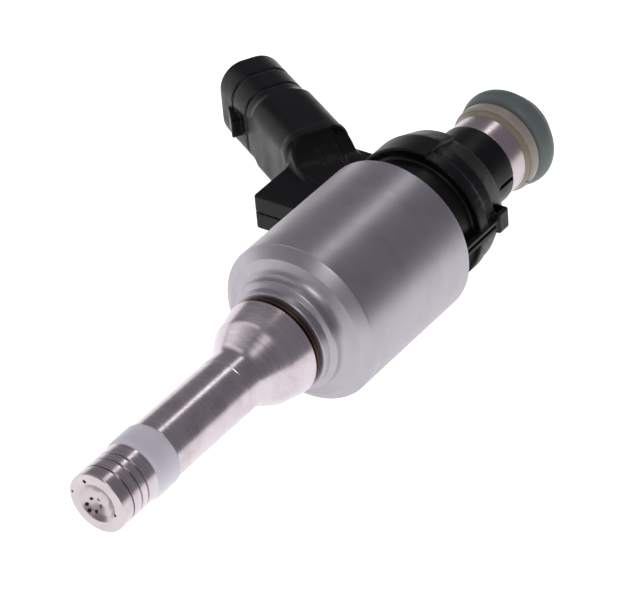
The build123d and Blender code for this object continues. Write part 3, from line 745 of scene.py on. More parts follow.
def woven_sleeve_tree():
    """A sleeve of crossing wires round the Y axis: hoops and straight wires."""
    tree, given = geometry_tree(
        "woven_sleeve",
        [
            ("Radius", "Float"),
            ("Wire radius", "Float"),
            ("Start", "Float"),
            ("Length", "Float"),
            ("Hoops", "Int"),
            ("Straights", "Int"),
            ("Material", "Material"),
        ],
    )
    hoop_path = add_node(
        tree, "GeometryNodeCurvePrimitiveCircle", {"Resolution": 48, "Radius": given["Radius"]}
    )
    section = add_node(
        tree, "GeometryNodeCurvePrimitiveCircle", {"Resolution": 5, "Radius": given["Wire radius"]}
    )
    hoop = add_node(
        tree,
        "GeometryNodeCurveToMesh",
        {"Curve": hoop_path.outputs["Curve"], "Profile Curve": section.outputs["Curve"]},
    )
    top = add_node(tree, "ShaderNodeCombineXYZ", {"Z": given["Length"]})
    stations = add_node(
        tree,
        "GeometryNodeMeshLine",
        {"Count": given["Hoops"], "Offset": top.outputs["Vector"]},
        mode="END_POINTS",
    )
    hoops = add_node(
        tree,
        "GeometryNodeInstanceOnPoints",
        {"Points": stations.outputs["Mesh"], "Instance": hoop.outputs["Mesh"]},
    )
    ring = add_node(
        tree,
        "GeometryNodeMeshCircle",
        {"Vertices": given["Straights"], "Radius": given["Radius"]},
    )
    straight_path = add_node(tree, "GeometryNodeCurvePrimitiveLine", {"End": top.outputs["Vector"]})
    straight = add_node(
        tree,
        "GeometryNodeCurveToMesh",
        {
            "Curve": straight_path.outputs["Curve"],
            "Profile Curve": section.outputs["Curve"],
            "Fill Caps": True,
        },
    )
    straights = add_node(
        tree,
        "GeometryNodeInstanceOnPoints",
        {"Points": ring.outputs["Mesh"], "Instance": straight.outputs["Mesh"]},
    )
    both = add_node(tree, "GeometryNodeJoinGeometry", {"Geometry": hoops.outputs["Instances"]})
    tree.links.new(straights.outputs["Instances"], both.inputs["Geometry"])
    start = add_node(tree, "ShaderNodeCombineXYZ", {"Y": given["Start"]})
    placed = add_node(
        tree,
        "GeometryNodeTransform",
        {
            "Geometry": both.outputs["Geometry"],
            "Translation": start.outputs["Vector"],
            "Rotation": (-math.pi / 2, 0, 0),
        },
    )
    end_tree(tree, placed.outputs["Geometry"], given["Material"])
    return tree


# ---------------------------------------------------------------- nozzle
class INJECTOR_OT_nozzle_tip(bpy.types.Operator):
    """Makes the dished tip with its spray holes, pits and first land."""

    bl_idname = "injector.nozzle_tip"
    bl_label = "Nozzle tip"

    def execute(self, context):
        settings = context.scene.injector
        size = in_mm(settings.nozzle)
        face = -size.tip_reach
        land = face + size.land_length
        neck_radius = 3.5
        pocket_radius, pocket_floor = 2.2, face + 2.7
        seat_radius, seat_rear = 1.5, face + 2.37
        sac_radius, sac_floor = 0.55, face + 1.42
        piece = lathe(
            "nozzle_tip",
            rounded(
                [
                    (0, face + size.dish_depth),
                    (0.9, face + size.dish_depth - 0.06, 1.0),
                    (1.9, face + size.dish_depth - 0.6, 0.8),
                    (size.dish_radius, face, 0.12),
                    (size.shank_radius, face, 0.16),
                    (size.shank_radius, land, 0.06),
                    (neck_radius, land),
                    (neck_radius, land + LAND_GAP),
                    (SEAT_SPIGOT, land + LAND_GAP),
                    (SEAT_SPIGOT, face + SEAT_LENGTH, 0.1),
                    (pocket_radius, face + SEAT_LENGTH),
                    (pocket_radius, pocket_floor),
                    (seat_radius, pocket_floor),
                    (seat_radius, seat_rear),
                    (sac_radius, sac_floor),
                    (0, sac_floor),
                ]
            ),
        )
        # Turned stainless steel, bright: sharp highlights on concentric rings.
        material = turned_steel(
            "Turned stainless steel, bright", settings.finish.tip, 0.27, mark=0.22
        )
        # Spray holes, then three pits. A pit is a ring of no radius, because a ring
        # needs three points or more.
        pins = ring_of_pins_tree()
        cutters = [
            grown(
                "cutter",
                pins,
                {
                    "Count": count,
                    "Ring radius": ring * MM,
                    "Pin radius": pin * MM,
                    "Pin length": 2 * deep * MM,
                    "Centre": Vector((x, face, z)) * MM,
                    "Turn": turn,
                    "Material": material,
                },
            )
            for count, ring, pin, deep, x, z, turn in (
                (settings.nozzle.hole_count, 0.76, 0.2, 1.1, -0.85, -1.15, -0.09),
                (3, 0.0, 0.24, 0.7, -1.71, 2.23, 0.0),
                (3, 0.0, 0.15, 0.5, -3.32, -0.05, 0.0),
                (3, 0.0, 0.21, 0.7, 2.42, -0.38, 0.0),
            )
        ]
        piece = cut_away(piece, cutters)
        finish_piece(piece, material, ["valve_seat"], "tip_steel")
        return {"FINISHED"}


class INJECTOR_OT_nozzle_tube(bpy.types.Operator):
    """Makes the nozzle tube: grooved tip, shank, flare and bulge."""

    bl_idname = "injector.nozzle_tube"
    bl_label = "Nozzle tube"

    def execute(self, context):
        settings = context.scene.injector
        size = in_mm(settings.nozzle)
        face = -size.tip_reach
        outside = [(SEAT_SPIGOT, face + size.land_length + LAND_GAP)]
        outside.append((size.shank_radius, outside[0][1], 0.05))
        groove_depth, mark_depth = 0.2, 0.05
        for station in (3.2, 4.35):
            outside += [
                (size.shank_radius, face + station - 0.15, 0.04),
                (size.shank_radius - groove_depth, face + station - 0.1),
                (size.shank_radius - groove_depth, face + station + 0.1),
                (size.shank_radius, face + station + 0.15, 0.04),
            ]
        seal_front = face + size.seal_station
        end_gap = 0.12
        seal_end = seal_front + size.seal_length + end_gap
        flare_blend = 2.2
        guide_seat = -2.3
        rear_bore, needle_bore = 3.2, 2.25
        outside += [
            (size.shank_radius, seal_front, 0.05),
            (SEAL_GROOVE, seal_front),
            (SEAL_GROOVE, seal_end),
            (size.shank_radius, seal_end, 0.06),
            # Fine turned ring on the shank.
            (size.shank_radius, face + 23.27, 0.02),
            (size.shank_radius - mark_depth, face + 23.33),
            (size.shank_radius - mark_depth, face + 23.46),
            (size.shank_radius, face + 23.53, 0.02),
            (size.shank_radius, face + size.flare_start, flare_blend),
            (size.flare_radius, face + size.flare_end, flare_blend),
            (size.bulge_radius, face + size.bulge_end, 0.16),
            (TUBE_SPIGOT, face + size.bulge_end),
            (TUBE_SPIGOT, CAN_FLOOR_FRONT),
            (SLEEVE_RADIUS, CAN_FLOOR_FRONT),
            (SLEEVE_RADIUS, guide_seat),
            (rear_bore, guide_seat),
            (rear_bore, face + size.flare_end),
            (needle_bore, face + size.flare_start),
            (needle_bore, face + SEAT_LENGTH),
            (SEAT_SPIGOT, face + SEAT_LENGTH),
        ]
        piece = lathe("nozzle_tube", rounded(outside))
        # Ground stainless steel that has run hot: satin, with a brown-mauve film.
        material = turned_steel(
            "Ground stainless steel, heat-tinted", settings.finish.nozzle, 0.26, film=0.45
        )
        finish_piece(piece, material, ["nozzle_tube"], "nozzle_steel")
        return {"FINISHED"}


class INJECTOR_OT_combustion_seal(bpy.types.Operator):
    """Makes the white plastic ring behind the tip."""

    bl_idname = "injector.combustion_seal"
    bl_label = "Combustion seal"

    def execute(self, context):
        settings = context.scene.injector
        size = in_mm(settings.nozzle)
        front = -size.tip_reach + size.seal_station
        piece = lathe(
            "combustion_seal",
            rounded(
                [
                    (SEAL_GROOVE, front),
                    (size.shank_radius - 0.05, front, 0.05),
                    (size.seal_radius, front + 0.5, 0.9),
                    (size.seal_radius, front + size.seal_length, 0.16),
                    (SEAL_GROOVE, front + size.seal_length),
                ]
            ),
        )
        # Filled fluoropolymer, sintered and turned: milky, waxy, slightly mottled.
        material = moulded_plastic(
            "Filled fluoropolymer, turned",
            settings.finish.seal,
            0.42,
            grain=0.5,
            depth=0.01,
            Subsurface_Weight=0.25,
            Subsurface_Scale=0.8 * MM,
        )
        finish_piece(piece, material, ["combustion_seal"], "seal_plastic")
        return {"FINISHED"}


class INJECTOR_OT_spacer_ring(bpy.types.Operator):
    """Makes the dark ring between the nozzle tube and the can."""

    bl_idname = "injector.spacer_ring"
    bl_label = "Spacer ring"

    def execute(self, context):
        settings = context.scene.injector
        size = in_mm(settings.nozzle)
        start = -size.tip_reach + size.bulge_end
        hub_radius, rim_radius = 5.75, 6.12
        rim_front, rim_rear, end = start + 0.43, start + 0.77, start + 1.2
        piece = lathe(
            "spacer_ring",
            rounded(
                [
                    (TUBE_SPIGOT, start),
                    (hub_radius, start),
                    (hub_radius, rim_front),
                    (rim_radius, rim_front, 0.12),
                    (rim_radius, rim_rear, 0.12),
                    (hub_radius, rim_rear),
                    (hub_radius, end),
                    (TUBE_SPIGOT, end),
                ]
            ),
        )
        # Turned steel with a black-brown oxide: dark, with dull highlights.
        material = turned_steel(
            "Turned steel, black oxide", settings.finish.spacer, 0.45, mark=0.3
        )
        finish_piece(piece, material, ["spacer_ring"], "spacer_metal")
        return {"FINISHED"}


# ---------------------------------------------------------------- solenoid
class INJECTOR_OT_solenoid_can(bpy.types.Operator):
    """Makes the steel can with its collar, front face, cone and wall."""

    bl_idname = "injector.solenoid_can"
    bl_label = "Solenoid can"

    def execute(self, context):
        settings = context.scene.injector
        size = in_mm(settings.can)
        front = -4.5
        face_foot = -1.6
        piece = lathe(
            "solenoid_can",
            rounded(
                [
                    (TUBE_SPIGOT, front),
                    (size.collar_radius, front, 0.25),
                    (size.collar_radius, front + 1.1, 0.12),
                    (size.collar_rear, front + 1.45, 0.3),
                    (size.collar_rear, face_foot, 1.1),
                    (size.face_radius, -size.face_drop, 0.25),
                    (size.radius, 0, 0.3),
                    (size.radius, size.wall_length, 0.25),
                    (COIL_SPACE, size.wall_length, 0.1),
                    (COIL_SPACE, CAN_FLOOR_REAR),
                    (SLEEVE_RADIUS, CAN_FLOOR_REAR),
                    (SLEEVE_RADIUS, CAN_FLOOR_FRONT),
                    (TUBE_SPIGOT, CAN_FLOOR_FRONT),
                ]
            ),
        )
        # Centreless-ground stainless steel: satin, broad soft highlights, few scratches.
        material = turned_steel(
            "Ground stainless steel, satin", settings.finish.can, 0.42, depth=0.0006, film=0.2
        )
        finish_piece(piece, material, ["solenoid_can"], "can_steel")
        return {"FINISHED"}


# ---------------------------------------------------------------- moulded body
def soft_min(a, b, blend):
    """Smaller of two distances, with the crease between them rounded."""
    h = np.clip(0.5 + 0.5 * (b - a) / blend, 0, 1)
    return b * (1 - h) + a * h - blend * h * (1 - h)


def soft_max(a, b, blend):
    """Larger of two distances, with the edge between them rounded."""
    return -soft_min(-a, -b, blend)


def slab(value, low, high):
    """Distance to the space between two parallel planes."""
    return np.abs(value - (low + high) / 2) - (high - low) / 2


def box_distance(x, y, half_x, half_y, corner):
    """Distance to a rectangle with rounded corners."""
    qx = np.abs(x) - half_x + corner
    qy = np.abs(y) - half_y + corner
    outside = np.hypot(np.maximum(qx, 0), np.maximum(qy, 0))
    return outside + np.minimum(np.maximum(qx, qy), 0) - corner


def prism(flat, height, edge):
    """Distance to a flat shape given a height, with its edges rounded."""
    a, b = flat + edge, height + edge
    return np.hypot(np.maximum(a, 0), np.maximum(b, 0)) + np.minimum(np.maximum(a, b), 0) - edge


def polygon_distance(x, y, corners):
    """Signed distance to a polygon."""
    best = np.full_like(x, 1e9)
    inside = np.zeros(x.shape, bool)
    for (ax, ay), (bx, by) in zip(corners, corners[1:] + corners[:1]):
        ex, ey, px, py = bx - ax, by - ay, x - ax, y - ay
        along = np.clip((px * ex + py * ey) / (ex * ex + ey * ey), 0, 1)
        best = np.minimum(best, (px - ex * along) ** 2 + (py - ey * along) ** 2)
        if ey != 0:
            crosses = ((ay > y) != (by > y)) & (px < ex * (y - ay) / ey)
            inside ^= crosses
    return np.where(inside, -1, 1) * np.sqrt(best)


def skin_of(distance, low, high, cell):
    """Quads on the zero surface of a distance function, inside a box in millimetres.

    The distance is taken on coarse blocks of cells first, then in every cell of the
    blocks near the surface. Each cell that the surface crosses gets one vertex, which
    is then moved along the distance's slope until it lies on the surface.
    """
    low, high = np.array(low, float), np.array(high, float)
    block = 4                # cells along a coarse block
    margin = 1.35            # how far from a block's middle the surface may be, in blocks
    probe = 0.02             # step for the slope, in millimetres
    counts = np.ceil((high - low) / (cell * block)).astype(int)
    middles = [low[i] + (np.arange(counts[i]) + 0.5) * cell * block - cell / 2 for i in range(3)]
    mx, my, mz = np.meshgrid(*middles, indexing="ij")
    coarse = distance(mx.ravel(), my.ravel(), mz.ravel()).reshape(mx.shape)
    near = np.abs(coarse) < cell * block * margin
    field, mask = coarse, near
    for axis in range(3):
        field = np.repeat(field, block, axis=axis)
        mask = np.repeat(mask, block, axis=axis)
    i, j, k = np.nonzero(mask)
    field[i, j, k] = distance(low[0] + i * cell, low[1] + j * cell, low[2] + k * cell)
    solid = field < 0
    corners = [(a, b, c) for a in (0, 1) for b in (0, 1) for c in (0, 1)]
    size = np.array(field.shape) - 1
    total = np.zeros(size, np.int8)
    for a, b, c in corners:
        total += solid[a : a + size[0], b : b + size[1], c : c + size[2]]
    active = (total > 0) & (total < 8)
    ci, cj, ck = np.nonzero(active)
    number = np.full(size, -1, np.int64)
    number[ci, cj, ck] = np.arange(len(ci))
    value = {p: field[ci + p[0], cj + p[1], ck + p[2]] for p in corners}
    total_place = np.zeros((len(ci), 3))
    crossings = np.zeros(len(ci))
    for p in corners:
        for axis in range(3):
            if p[axis]:
                continue
            q = tuple(1 if n == axis else p[n] for n in range(3))
            crossed = (value[p] < 0) != (value[q] < 0)
            share = np.where(crossed, value[p] / (value[p] - value[q] + 1e-30), 0)
            for n in range(3):
                total_place[:, n] += np.where(crossed, p[n] + (share if n == axis else 0), 0)
            crossings += crossed
    places = low + (np.stack([ci, cj, ck], 1) + total_place / crossings[:, None]) * cell
    for _ in range(4):
        here = distance(*places.T)
        moved = [distance(*(places + probe * np.eye(3)[n]).T) - here for n in range(3)]
        slope = np.stack(moved, 1) / probe
        step = here[:, None] * slope / np.maximum((slope**2).sum(1), 0.2)[:, None]
        places -= np.clip(step, -0.6 * cell, 0.6 * cell)
    quads = []
    for axis in range(3):
        u, v = (axis + 1) % 3, (axis + 2) % 3
        first = [slice(1, s) for s in size]
        first[axis] = slice(0, size[axis])
        second = [slice(1, s) for s in size]
        second[axis] = slice(1, size[axis] + 1)
        a, b = solid[tuple(first)], solid[tuple(second)]
        for flip, found in ((False, a & ~b), (True, ~a & b)):
            index = np.stack(np.nonzero(found), 1)
            index[:, u] += 1
            index[:, v] += 1
            du, dv = np.eye(3, dtype=int)[u], np.eye(3, dtype=int)[v]
            ring = [index - du - dv, index - dv, index, index - du]
            if flip:
                ring.reverse()
            quads.append(np.stack([number[tuple(r.T)] for r in ring], 1))
    return places, np.concatenate(quads)


def moulded_body_distance(body, plug, can):
    """Distance to the whole moulding, as a function of x, y and z in millimetres."""
    lean = plug.lean
    out_reach = plug.reach * math.cos(lean) + (plug.half_width - plug.corner) * math.sin(lean)
    droop = math.asin(can.radius / math.hypot(out_reach, plug.half_height)) - math.atan2(
        plug.half_height, out_reach
    )
    out = (-math.cos(droop), -math.sin(droop))
    up = (-math.sin(droop), math.cos(droop))
    root = 19.0              # where the tube starts, along the connector
    foot_end = 20.25         # rear of the foot, and front of the windows
    pair_half = 0.72         # half the width of the rib pair
    lug_station = 28.7       # middle of the snap lug
    block_front, block_rear = 22.0, 30.6
    block_inner = 4.5        # the root block's side nearest the axis

    def on_plug(along, across):
        """A point of the connector's own axes as (outward, y)."""
        return (
            along * math.cos(lean) - across * math.sin(lean),
            plug.station + along * math.sin(lean) + across * math.cos(lean),
        )

    def distance(x, y, z):
        """Distance to the moulding at points given in millimetres."""
        radius = np.hypot(x, z)
        outward = x * out[0] + z * out[1]
        height = x * up[0] + z * up[1]
        along = outward * math.cos(lean) + (y - plug.station) * math.sin(lean)
        across = -outward * math.sin(lean) + (y - plug.station) * math.cos(lean)
        # Foot in the can, barrel with its cone, and neck.
        foot = soft_max(radius - 9.5, slab(y, 18.6, foot_end), 0.25)
        around = np.degrees(np.arctan2(np.abs(height), -outward))
        # The hub stands proud beside the connector and steps down behind its rim.
        proud = 0.32 * np.clip((around - 79.5) / 1.5, 0, 1)
        stepped = 0.24 * np.clip((y - 26.1) / 0.4, 0, 1) * np.clip(80.5 - around, 0, 1)
        barrel = (
            polygon_distance(
                radius + stepped - proud,
                y,
                [
                    (-3.0, 19.2),
                    (body.barrel_radius - 0.3, 19.2),
                    (body.barrel_radius - 0.3, 27.95),
                    (7.72, 30.7),
                    (7.2, 30.7),
                    (5.1, 32.0),
                    (-3.0, 32.0),
                ],
            )
            - 0.3
        )
        neck = prism(radius - body.neck_radius, slab(y, 28.0, body.neck_end), 0.2)
        whole = soft_min(barrel, foot, 0.15)
        # Windows either side of a rib pair, on the side away from the connector.
        floor_gap = body.barrel_radius - body.window_depth - radius
        between = slab(y, foot_end, 24.5)
        side = np.maximum(np.radians(around - 150) * radius, pair_half - np.abs(height))
        window = soft_max(soft_max(floor_gap, between, 0.4), side, 0.2)
        whole = soft_max(whole, -window, 0.25)
        pair = prism(
            box_distance(-outward - 6.0, y - 24.1, body.lug_reach - 6.0, 4.0, 0.3),
            np.abs(height) - pair_half,
            0.1,
        )
        whole = soft_min(whole, pair, 0.15)
        slot = soft_max(floor_gap, slab(y, foot_end, 27.2), 0.15)
        slot = soft_max(slot, np.abs(height) - 0.17, 0.1)
        whole = soft_max(whole, -slot, 0.1)
        whole = soft_min(whole, neck, 0.9)
        # Snap lug with its slot, opposite the connector.
        lug = prism(
            box_distance(-outward - 6.5, y - lug_station, body.lug_reach - 6.3, 1.05, 0.3),
            np.abs(height) - 1.4,
            0.3,
        )
        whole = soft_min(whole, lug, 0.35)
        tunnel_reach = body.lug_reach - 0.75
        tunnel = box_distance(-outward - tunnel_reach, y - lug_station, 0.42, 0.6, 0.2)
        whole = soft_max(whole, -tunnel, 0.12)
        # Slit in the neck's rear end, on the same side.
        slit = soft_max(slab(y, 34.2, 39), np.abs(height) - 0.2, 0.1)
        slit = soft_max(slit, 4.88 + outward, 0.1)
        whole = soft_max(whole, -slit, 0.1)
        # Keel below the connector, and root block between barrel and connector.
        keel = prism(
            box_distance(outward - 11.0, y - 20.3, 7.0, 4.1, 0.35),
            np.abs(height) - 2.4,
            0.3,
        )
        keel = soft_max(keel, -np.maximum(radius - 10.45, y - 19.95), 0.15)
        # Parting line on the keel's front face.
        parting = soft_max(np.abs(height) - 0.12, y - 16.36, 0.08)
        keel = soft_max(keel, -parting, 0.08)
        # The root is flat, and drops behind its rear rib.
        drop = np.clip((across - 1.7) / 0.5, 0, 1)
        top = 2.65 - 0.5 * drop
        block = prism(
            polygon_distance(
                outward,
                y,
                [
                    (block_inner, block_front),
                    (11.0, block_front),
                    on_plug(15.5, -3.6),
                    on_plug(root, -3.6),
                    on_plug(root, 2.9),
                    (on_plug(root, 3.4)[0], block_rear),
                    (block_inner, block_rear),
                ],
            )
            - 0.4,
            np.abs(height) - top,
            0.4,
        )
        ribs = np.minimum(slab(across, -0.95, -0.45), slab(across, 1.35, 1.85))
        rise = 2.4 + 2.7 * np.clip((along - 13.5) / (root - 13.5), 0, 1) ** 2 - 0.7 * drop
        crest = np.abs(height) - np.maximum(2.9, rise + 0.25)
        ribs = soft_max(soft_max(ribs, slab(along, 9.0, 17.5), 0.2), crest, 0.2)
        # Connector tube with a rounded mouth and two shallow rings.
        corner = plug.corner - 0.9 * np.clip(30 - along, 0, 1)
        section = box_distance(height, across, plug.half_height, plug.half_width, corner)
        tube = prism(section, slab(along, root, plug.reach), 0.45)
        # Shoulder that rises from the root to the tube's upper and lower faces.
        shoulder = soft_max(section + 0.1, np.abs(height) - rise, 0.4)
        shoulder = soft_max(shoulder, slab(along, 8, root + 1), 0.3)
        for ring in (31.25, 35.15):
            groove = soft_max(slab(along, ring - 0.24, ring + 0.24), -0.16 - section, 0.1)
            tube = soft_max(tube, -groove, 0.14)
        latch = prism(
            polygon_distance(
                along, across, [(32.9, -3.4), (32.9, -5.4), (36.0, -4.4), (36.0, -3.4)]
            )
            - 0.15,
            np.abs(height) - 1.3,
            0.2,
        )
        arm = soft_min(soft_min(block, keel, 1.0), shoulder, 0.5)
        arm = soft_min(arm, tube, 0.6)
        arm = soft_min(arm, ribs, 0.2)
        arm = soft_min(arm, latch, 0.15)
        whole = soft_min(whole, arm, 0.5)
        # Plug socket, fuel tube bore, and the can's own space.
        socket = prism(
            box_distance(
                height,
                across,
                plug.half_height - plug.wall,
                plug.half_width - plug.wall,
                plug.corner - plug.wall,
            ),
            slab(along, plug.reach - plug.socket_depth, plug.reach + 3),
            0.3,
        )
        whole = soft_max(whole, -socket, 0.3)
        spigot = np.maximum(radius - 8.98, slab(y, 17.15, 19.9))
        whole = np.minimum(whole, spigot)
        bore = np.minimum(radius - 4.02, np.maximum(radius - 5.27, y - 20.62))
        whole = np.maximum(whole, -bore)
        can_space = np.maximum(np.maximum(radius - 10.42, y - 19.82), COIL_SPACE - radius)
        return np.maximum(whole, -can_space)

    return distance


class INJECTOR_OT_moulded_body(bpy.types.Operator):
    """Makes the black moulding: barrel, neck, keel and plug connector."""

    bl_idname = "injector.moulded_body"
    bl_label = "Moulded body"

    def execute(self, context):
        settings = context.scene.injector
        body, plug, can = (
            in_mm(settings.body),
            in_mm(settings.connector),
            in_mm(settings.can),
        )
        plug.lean = settings.connector.lean
        low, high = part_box("overmould")
        places, quads = skin_of(
            moulded_body_distance(body, plug, can),
            np.array(low) / MM - 1,
            np.array(high) / MM + 1,
            body.grid,
        )
        piece = new_piece("moulded_body", places, quads.tolist())
        thin = piece.modifiers.new("thin", "DECIMATE")
        thin.ratio = min(1.0, PIECE_LIMIT / (2 * len(quads)))
        piece.name = "moulded_body_full"
        piece = baked(piece, "moulded_body")
        # Glass-filled nylon, injection moulded: black, low sheen, fine eroded grain.
        material = moulded_plastic(
            "Glass-filled nylon, moulded",
            settings.finish.nylon,
            0.38,
            grain=0.3,
            depth=0.01,
            Specular_IOR_Level=0.22,
        )
        finish_piece(piece, material, ["overmould"], "body_plastic")
        return {"FINISHED"}


# ---------------------------------------------------------------- inlet
class INJECTOR_OT_inlet_tube(bpy.types.Operator):
    """Makes the steel fuel inlet with its land, ring groove and lip."""

    bl_idname = "injector.inlet_tube"
    bl_label = "Inlet tube"

    def execute(self, context):
        settings = context.scene.injector
        size = in_mm(settings.inlet)
        neck_end = settings.body.neck_end / MM
        flange_radius, neck_radius = 5.25, 4.0
        piece = lathe(
            "inlet_tube",
            rounded(
                [
                    (SLEEVE_RADIUS, FLANGE_FRONT),
                    (flange_radius, FLANGE_FRONT),
                    (flange_radius, FLANGE_REAR),
                    (neck_radius, FLANGE_REAR),
                    (neck_radius, neck_end),
                    (size.land_radius, neck_end, 0.08),
                    (size.land_radius, RINGS_START, 0.08),
                    (size.groove_radius, RINGS_START),
                    (size.groove_radius, size.reach - LIP_LENGTH, 0.3),
                    (size.lip_radius, size.reach - LIP_LENGTH, 0.12),
                    (size.lip_radius, size.reach, 0.2),
                    (size.bore_radius + 0.35, size.reach, 0.1),
                    (size.bore_radius, size.reach - 0.35),
                    (size.bore_radius, SLEEVE_END),
                    (SLEEVE_RADIUS, SLEEVE_END),
                ]
            ),
        )
        # Turned stainless steel: bright narrow highlights and a faint warm film.
        material = turned_steel(
            "Turned stainless steel, inlet", settings.finish.inlet, 0.28, mark=0.3
        )
        finish_piece(piece, material, ["inlet_tube"], "inlet_steel")
        return {"FINISHED"}


class INJECTOR_OT_inlet_rings(bpy.types.Operator):
    """Makes the support ring, the split back-up ring and the rubber seal."""

    bl_idname = "injector.inlet_rings"
    bl_label = "Inlet rings"

    def execute(self, context):
        settings = context.scene.injector
        size = in_mm(settings.inlet)
        groove = size.groove_radius
        cone_radius, backup_radius = 5.6, 5.85
        support = lathe(
            "support_ring",
            rounded(
                [
                    (groove, RINGS_START),
                    (size.land_radius, RINGS_START, 0.04),
                    (cone_radius, SUPPORT_END, 0.1),
                    (groove, SUPPORT_END),
                ]
            ),
        )
        # Moulded polyamide: dull olive, with a fine grain and no clear highlight.
        material = moulded_plastic(
            "Olive polyamide, moulded", settings.finish.support, 0.4, grain=0.4
        )
        finish_piece(support, material, ["support_ring"], "support_plastic")
        backup = lathe(
            "backup_ring",
            rounded(
                [
                    (groove, SUPPORT_END),
                    (cone_radius, SUPPORT_END, 0.08),
                    (backup_radius, 41.2, 0.15),
                    (backup_radius, BACKUP_END, 0.15),
                    (groove, BACKUP_END),
                ]
            ),
        )
        # The split: a thin wedge of air from the bore out through one side.
        cutter = new_piece(
            "split",
            [
                (a * math.cos(t) - s * math.sin(t), y, -(a * math.sin(t) + s * math.cos(t)))
                for t in (math.radians(24.3),)
                for y in (40.0, 43.0)
                for a, s in ((1, -0.11), (9, -0.11), (9, 0.11), (1, 0.11))
            ],
            [(0, 1, 2, 3), (7, 6, 5, 4), (0, 4, 5, 1), (1, 5, 6, 2), (2, 6, 7, 3), (3, 7, 4, 0)],
        )
        backup = cut_away(backup, [cutter])
        # Turned fluoropolymer: soft cream and waxy, so that its edges look gentle.
        material = moulded_plastic(
            "Cream fluoropolymer, turned", settings.finish.backup, 0.4, grain=0.4
        )
        finish_piece(backup, material, ["backup_ring"], "backup_plastic")
        section = size.ring_section / 2
        middle = (BACKUP_END + size.reach - LIP_LENGTH) / 2
        ring = lathe(
            "inlet_seal",
            [
                (
                    groove + section + section * math.cos(a),
                    middle + section * math.sin(a),
                )
                for a in (2 * math.pi * i / 72 for i in range(72))
            ],
        )
        # Moulded fluorocarbon rubber: green-grey, with one broad dull highlight.
        material = moulded_plastic(
            "Fluorocarbon rubber, moulded", settings.finish.rubber, 0.48, grain=0.5
        )
        finish_piece(ring, material, ["inlet_seal"], "seal_rubber")
        return {"FINISHED"}


class INJECTOR_OT_inlet_filter(bpy.types.Operator):
    """Makes the woven filter sleeve in the inlet's bore."""

    bl_idname = "injector.inlet_filter"
    bl_label = "Inlet filter"

    def execute(self, context):
        size = in_mm(context.scene.injector.inlet)
        # Woven stainless wire: a fine bright lattice with dark gaps.
        material = turned_steel("Woven stainless wire", linear("#a8a5a0"), 0.3)
        sleeve = grown(
            "filter_mesh",
            woven_sleeve_tree(),
            {
                "Radius": 1.44 * MM,
                "Wire radius": 0.045 * MM,
                "Start": (size.reach - 8.4) * MM,
                "Length": 7.6 * MM,
                "Hoops": 40,
                "Straights": 48,
                "Material": material,
            },
        )
        finish_piece(sleeve, material, ["filter_mesh"], "mesh_steel")
        return {"FINISHED"}


# ---------------------------------------------------------------- inner pieces
class INJECTOR_OT_wound_wire(bpy.types.Operator):
    """Makes the two springs and the outer turns of the coil."""

    bl_idname = "injector.wound_wire"
    bl_label = "Springs and winding"

    def execute(self, context):
        # Drawn spring wire: dark grey, with a bright line along each turn.
        spring_steel = turned_steel("Drawn spring wire", linear("#8b8a8c"), 0.28)
        # Enamelled copper wire: warm orange-brown, with a glossy line on each turn.
        copper = turned_steel("Enamelled copper wire", linear("#9a5a33"), 0.3)
        tree = wound_wire_tree()
        for name, slot, material, wire, turns in (
            ("closing_spring", "spring_steel", spring_steel, 0.25, 8),
            ("damping_spring", "spring_steel", spring_steel, 0.13, 4),
            ("coil_winding", "winding_copper", copper, 0.175, 29),
        ):
            low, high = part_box(name)
            turned = grown(
                name,
                tree,
                {
                    "Mean radius": high.x - wire * MM,
                    "Wire radius": wire * MM,
                    "Start": low.y + wire * MM,
                    "Length": high.y - low.y - 2 * wire * MM,
                    "Turns": float(turns),
                    "Material": material,
                },
            )
            if name == "coil_winding":
                # The inner layers, which only show past the outermost turns.
                under = high.x / MM - wire
                core = lathe(
                    "core",
                    [
                        (COIL_BORE, low.y / MM + wire),
                        (under, low.y / MM + wire),
                        (under, high.y / MM - wire),
                        (COIL_BORE, high.y / MM - wire),
                    ],
                )
                turned = joined(name, [turned, core])
            finish_piece(turned, material, [name], slot)
        return {"FINISHED"}


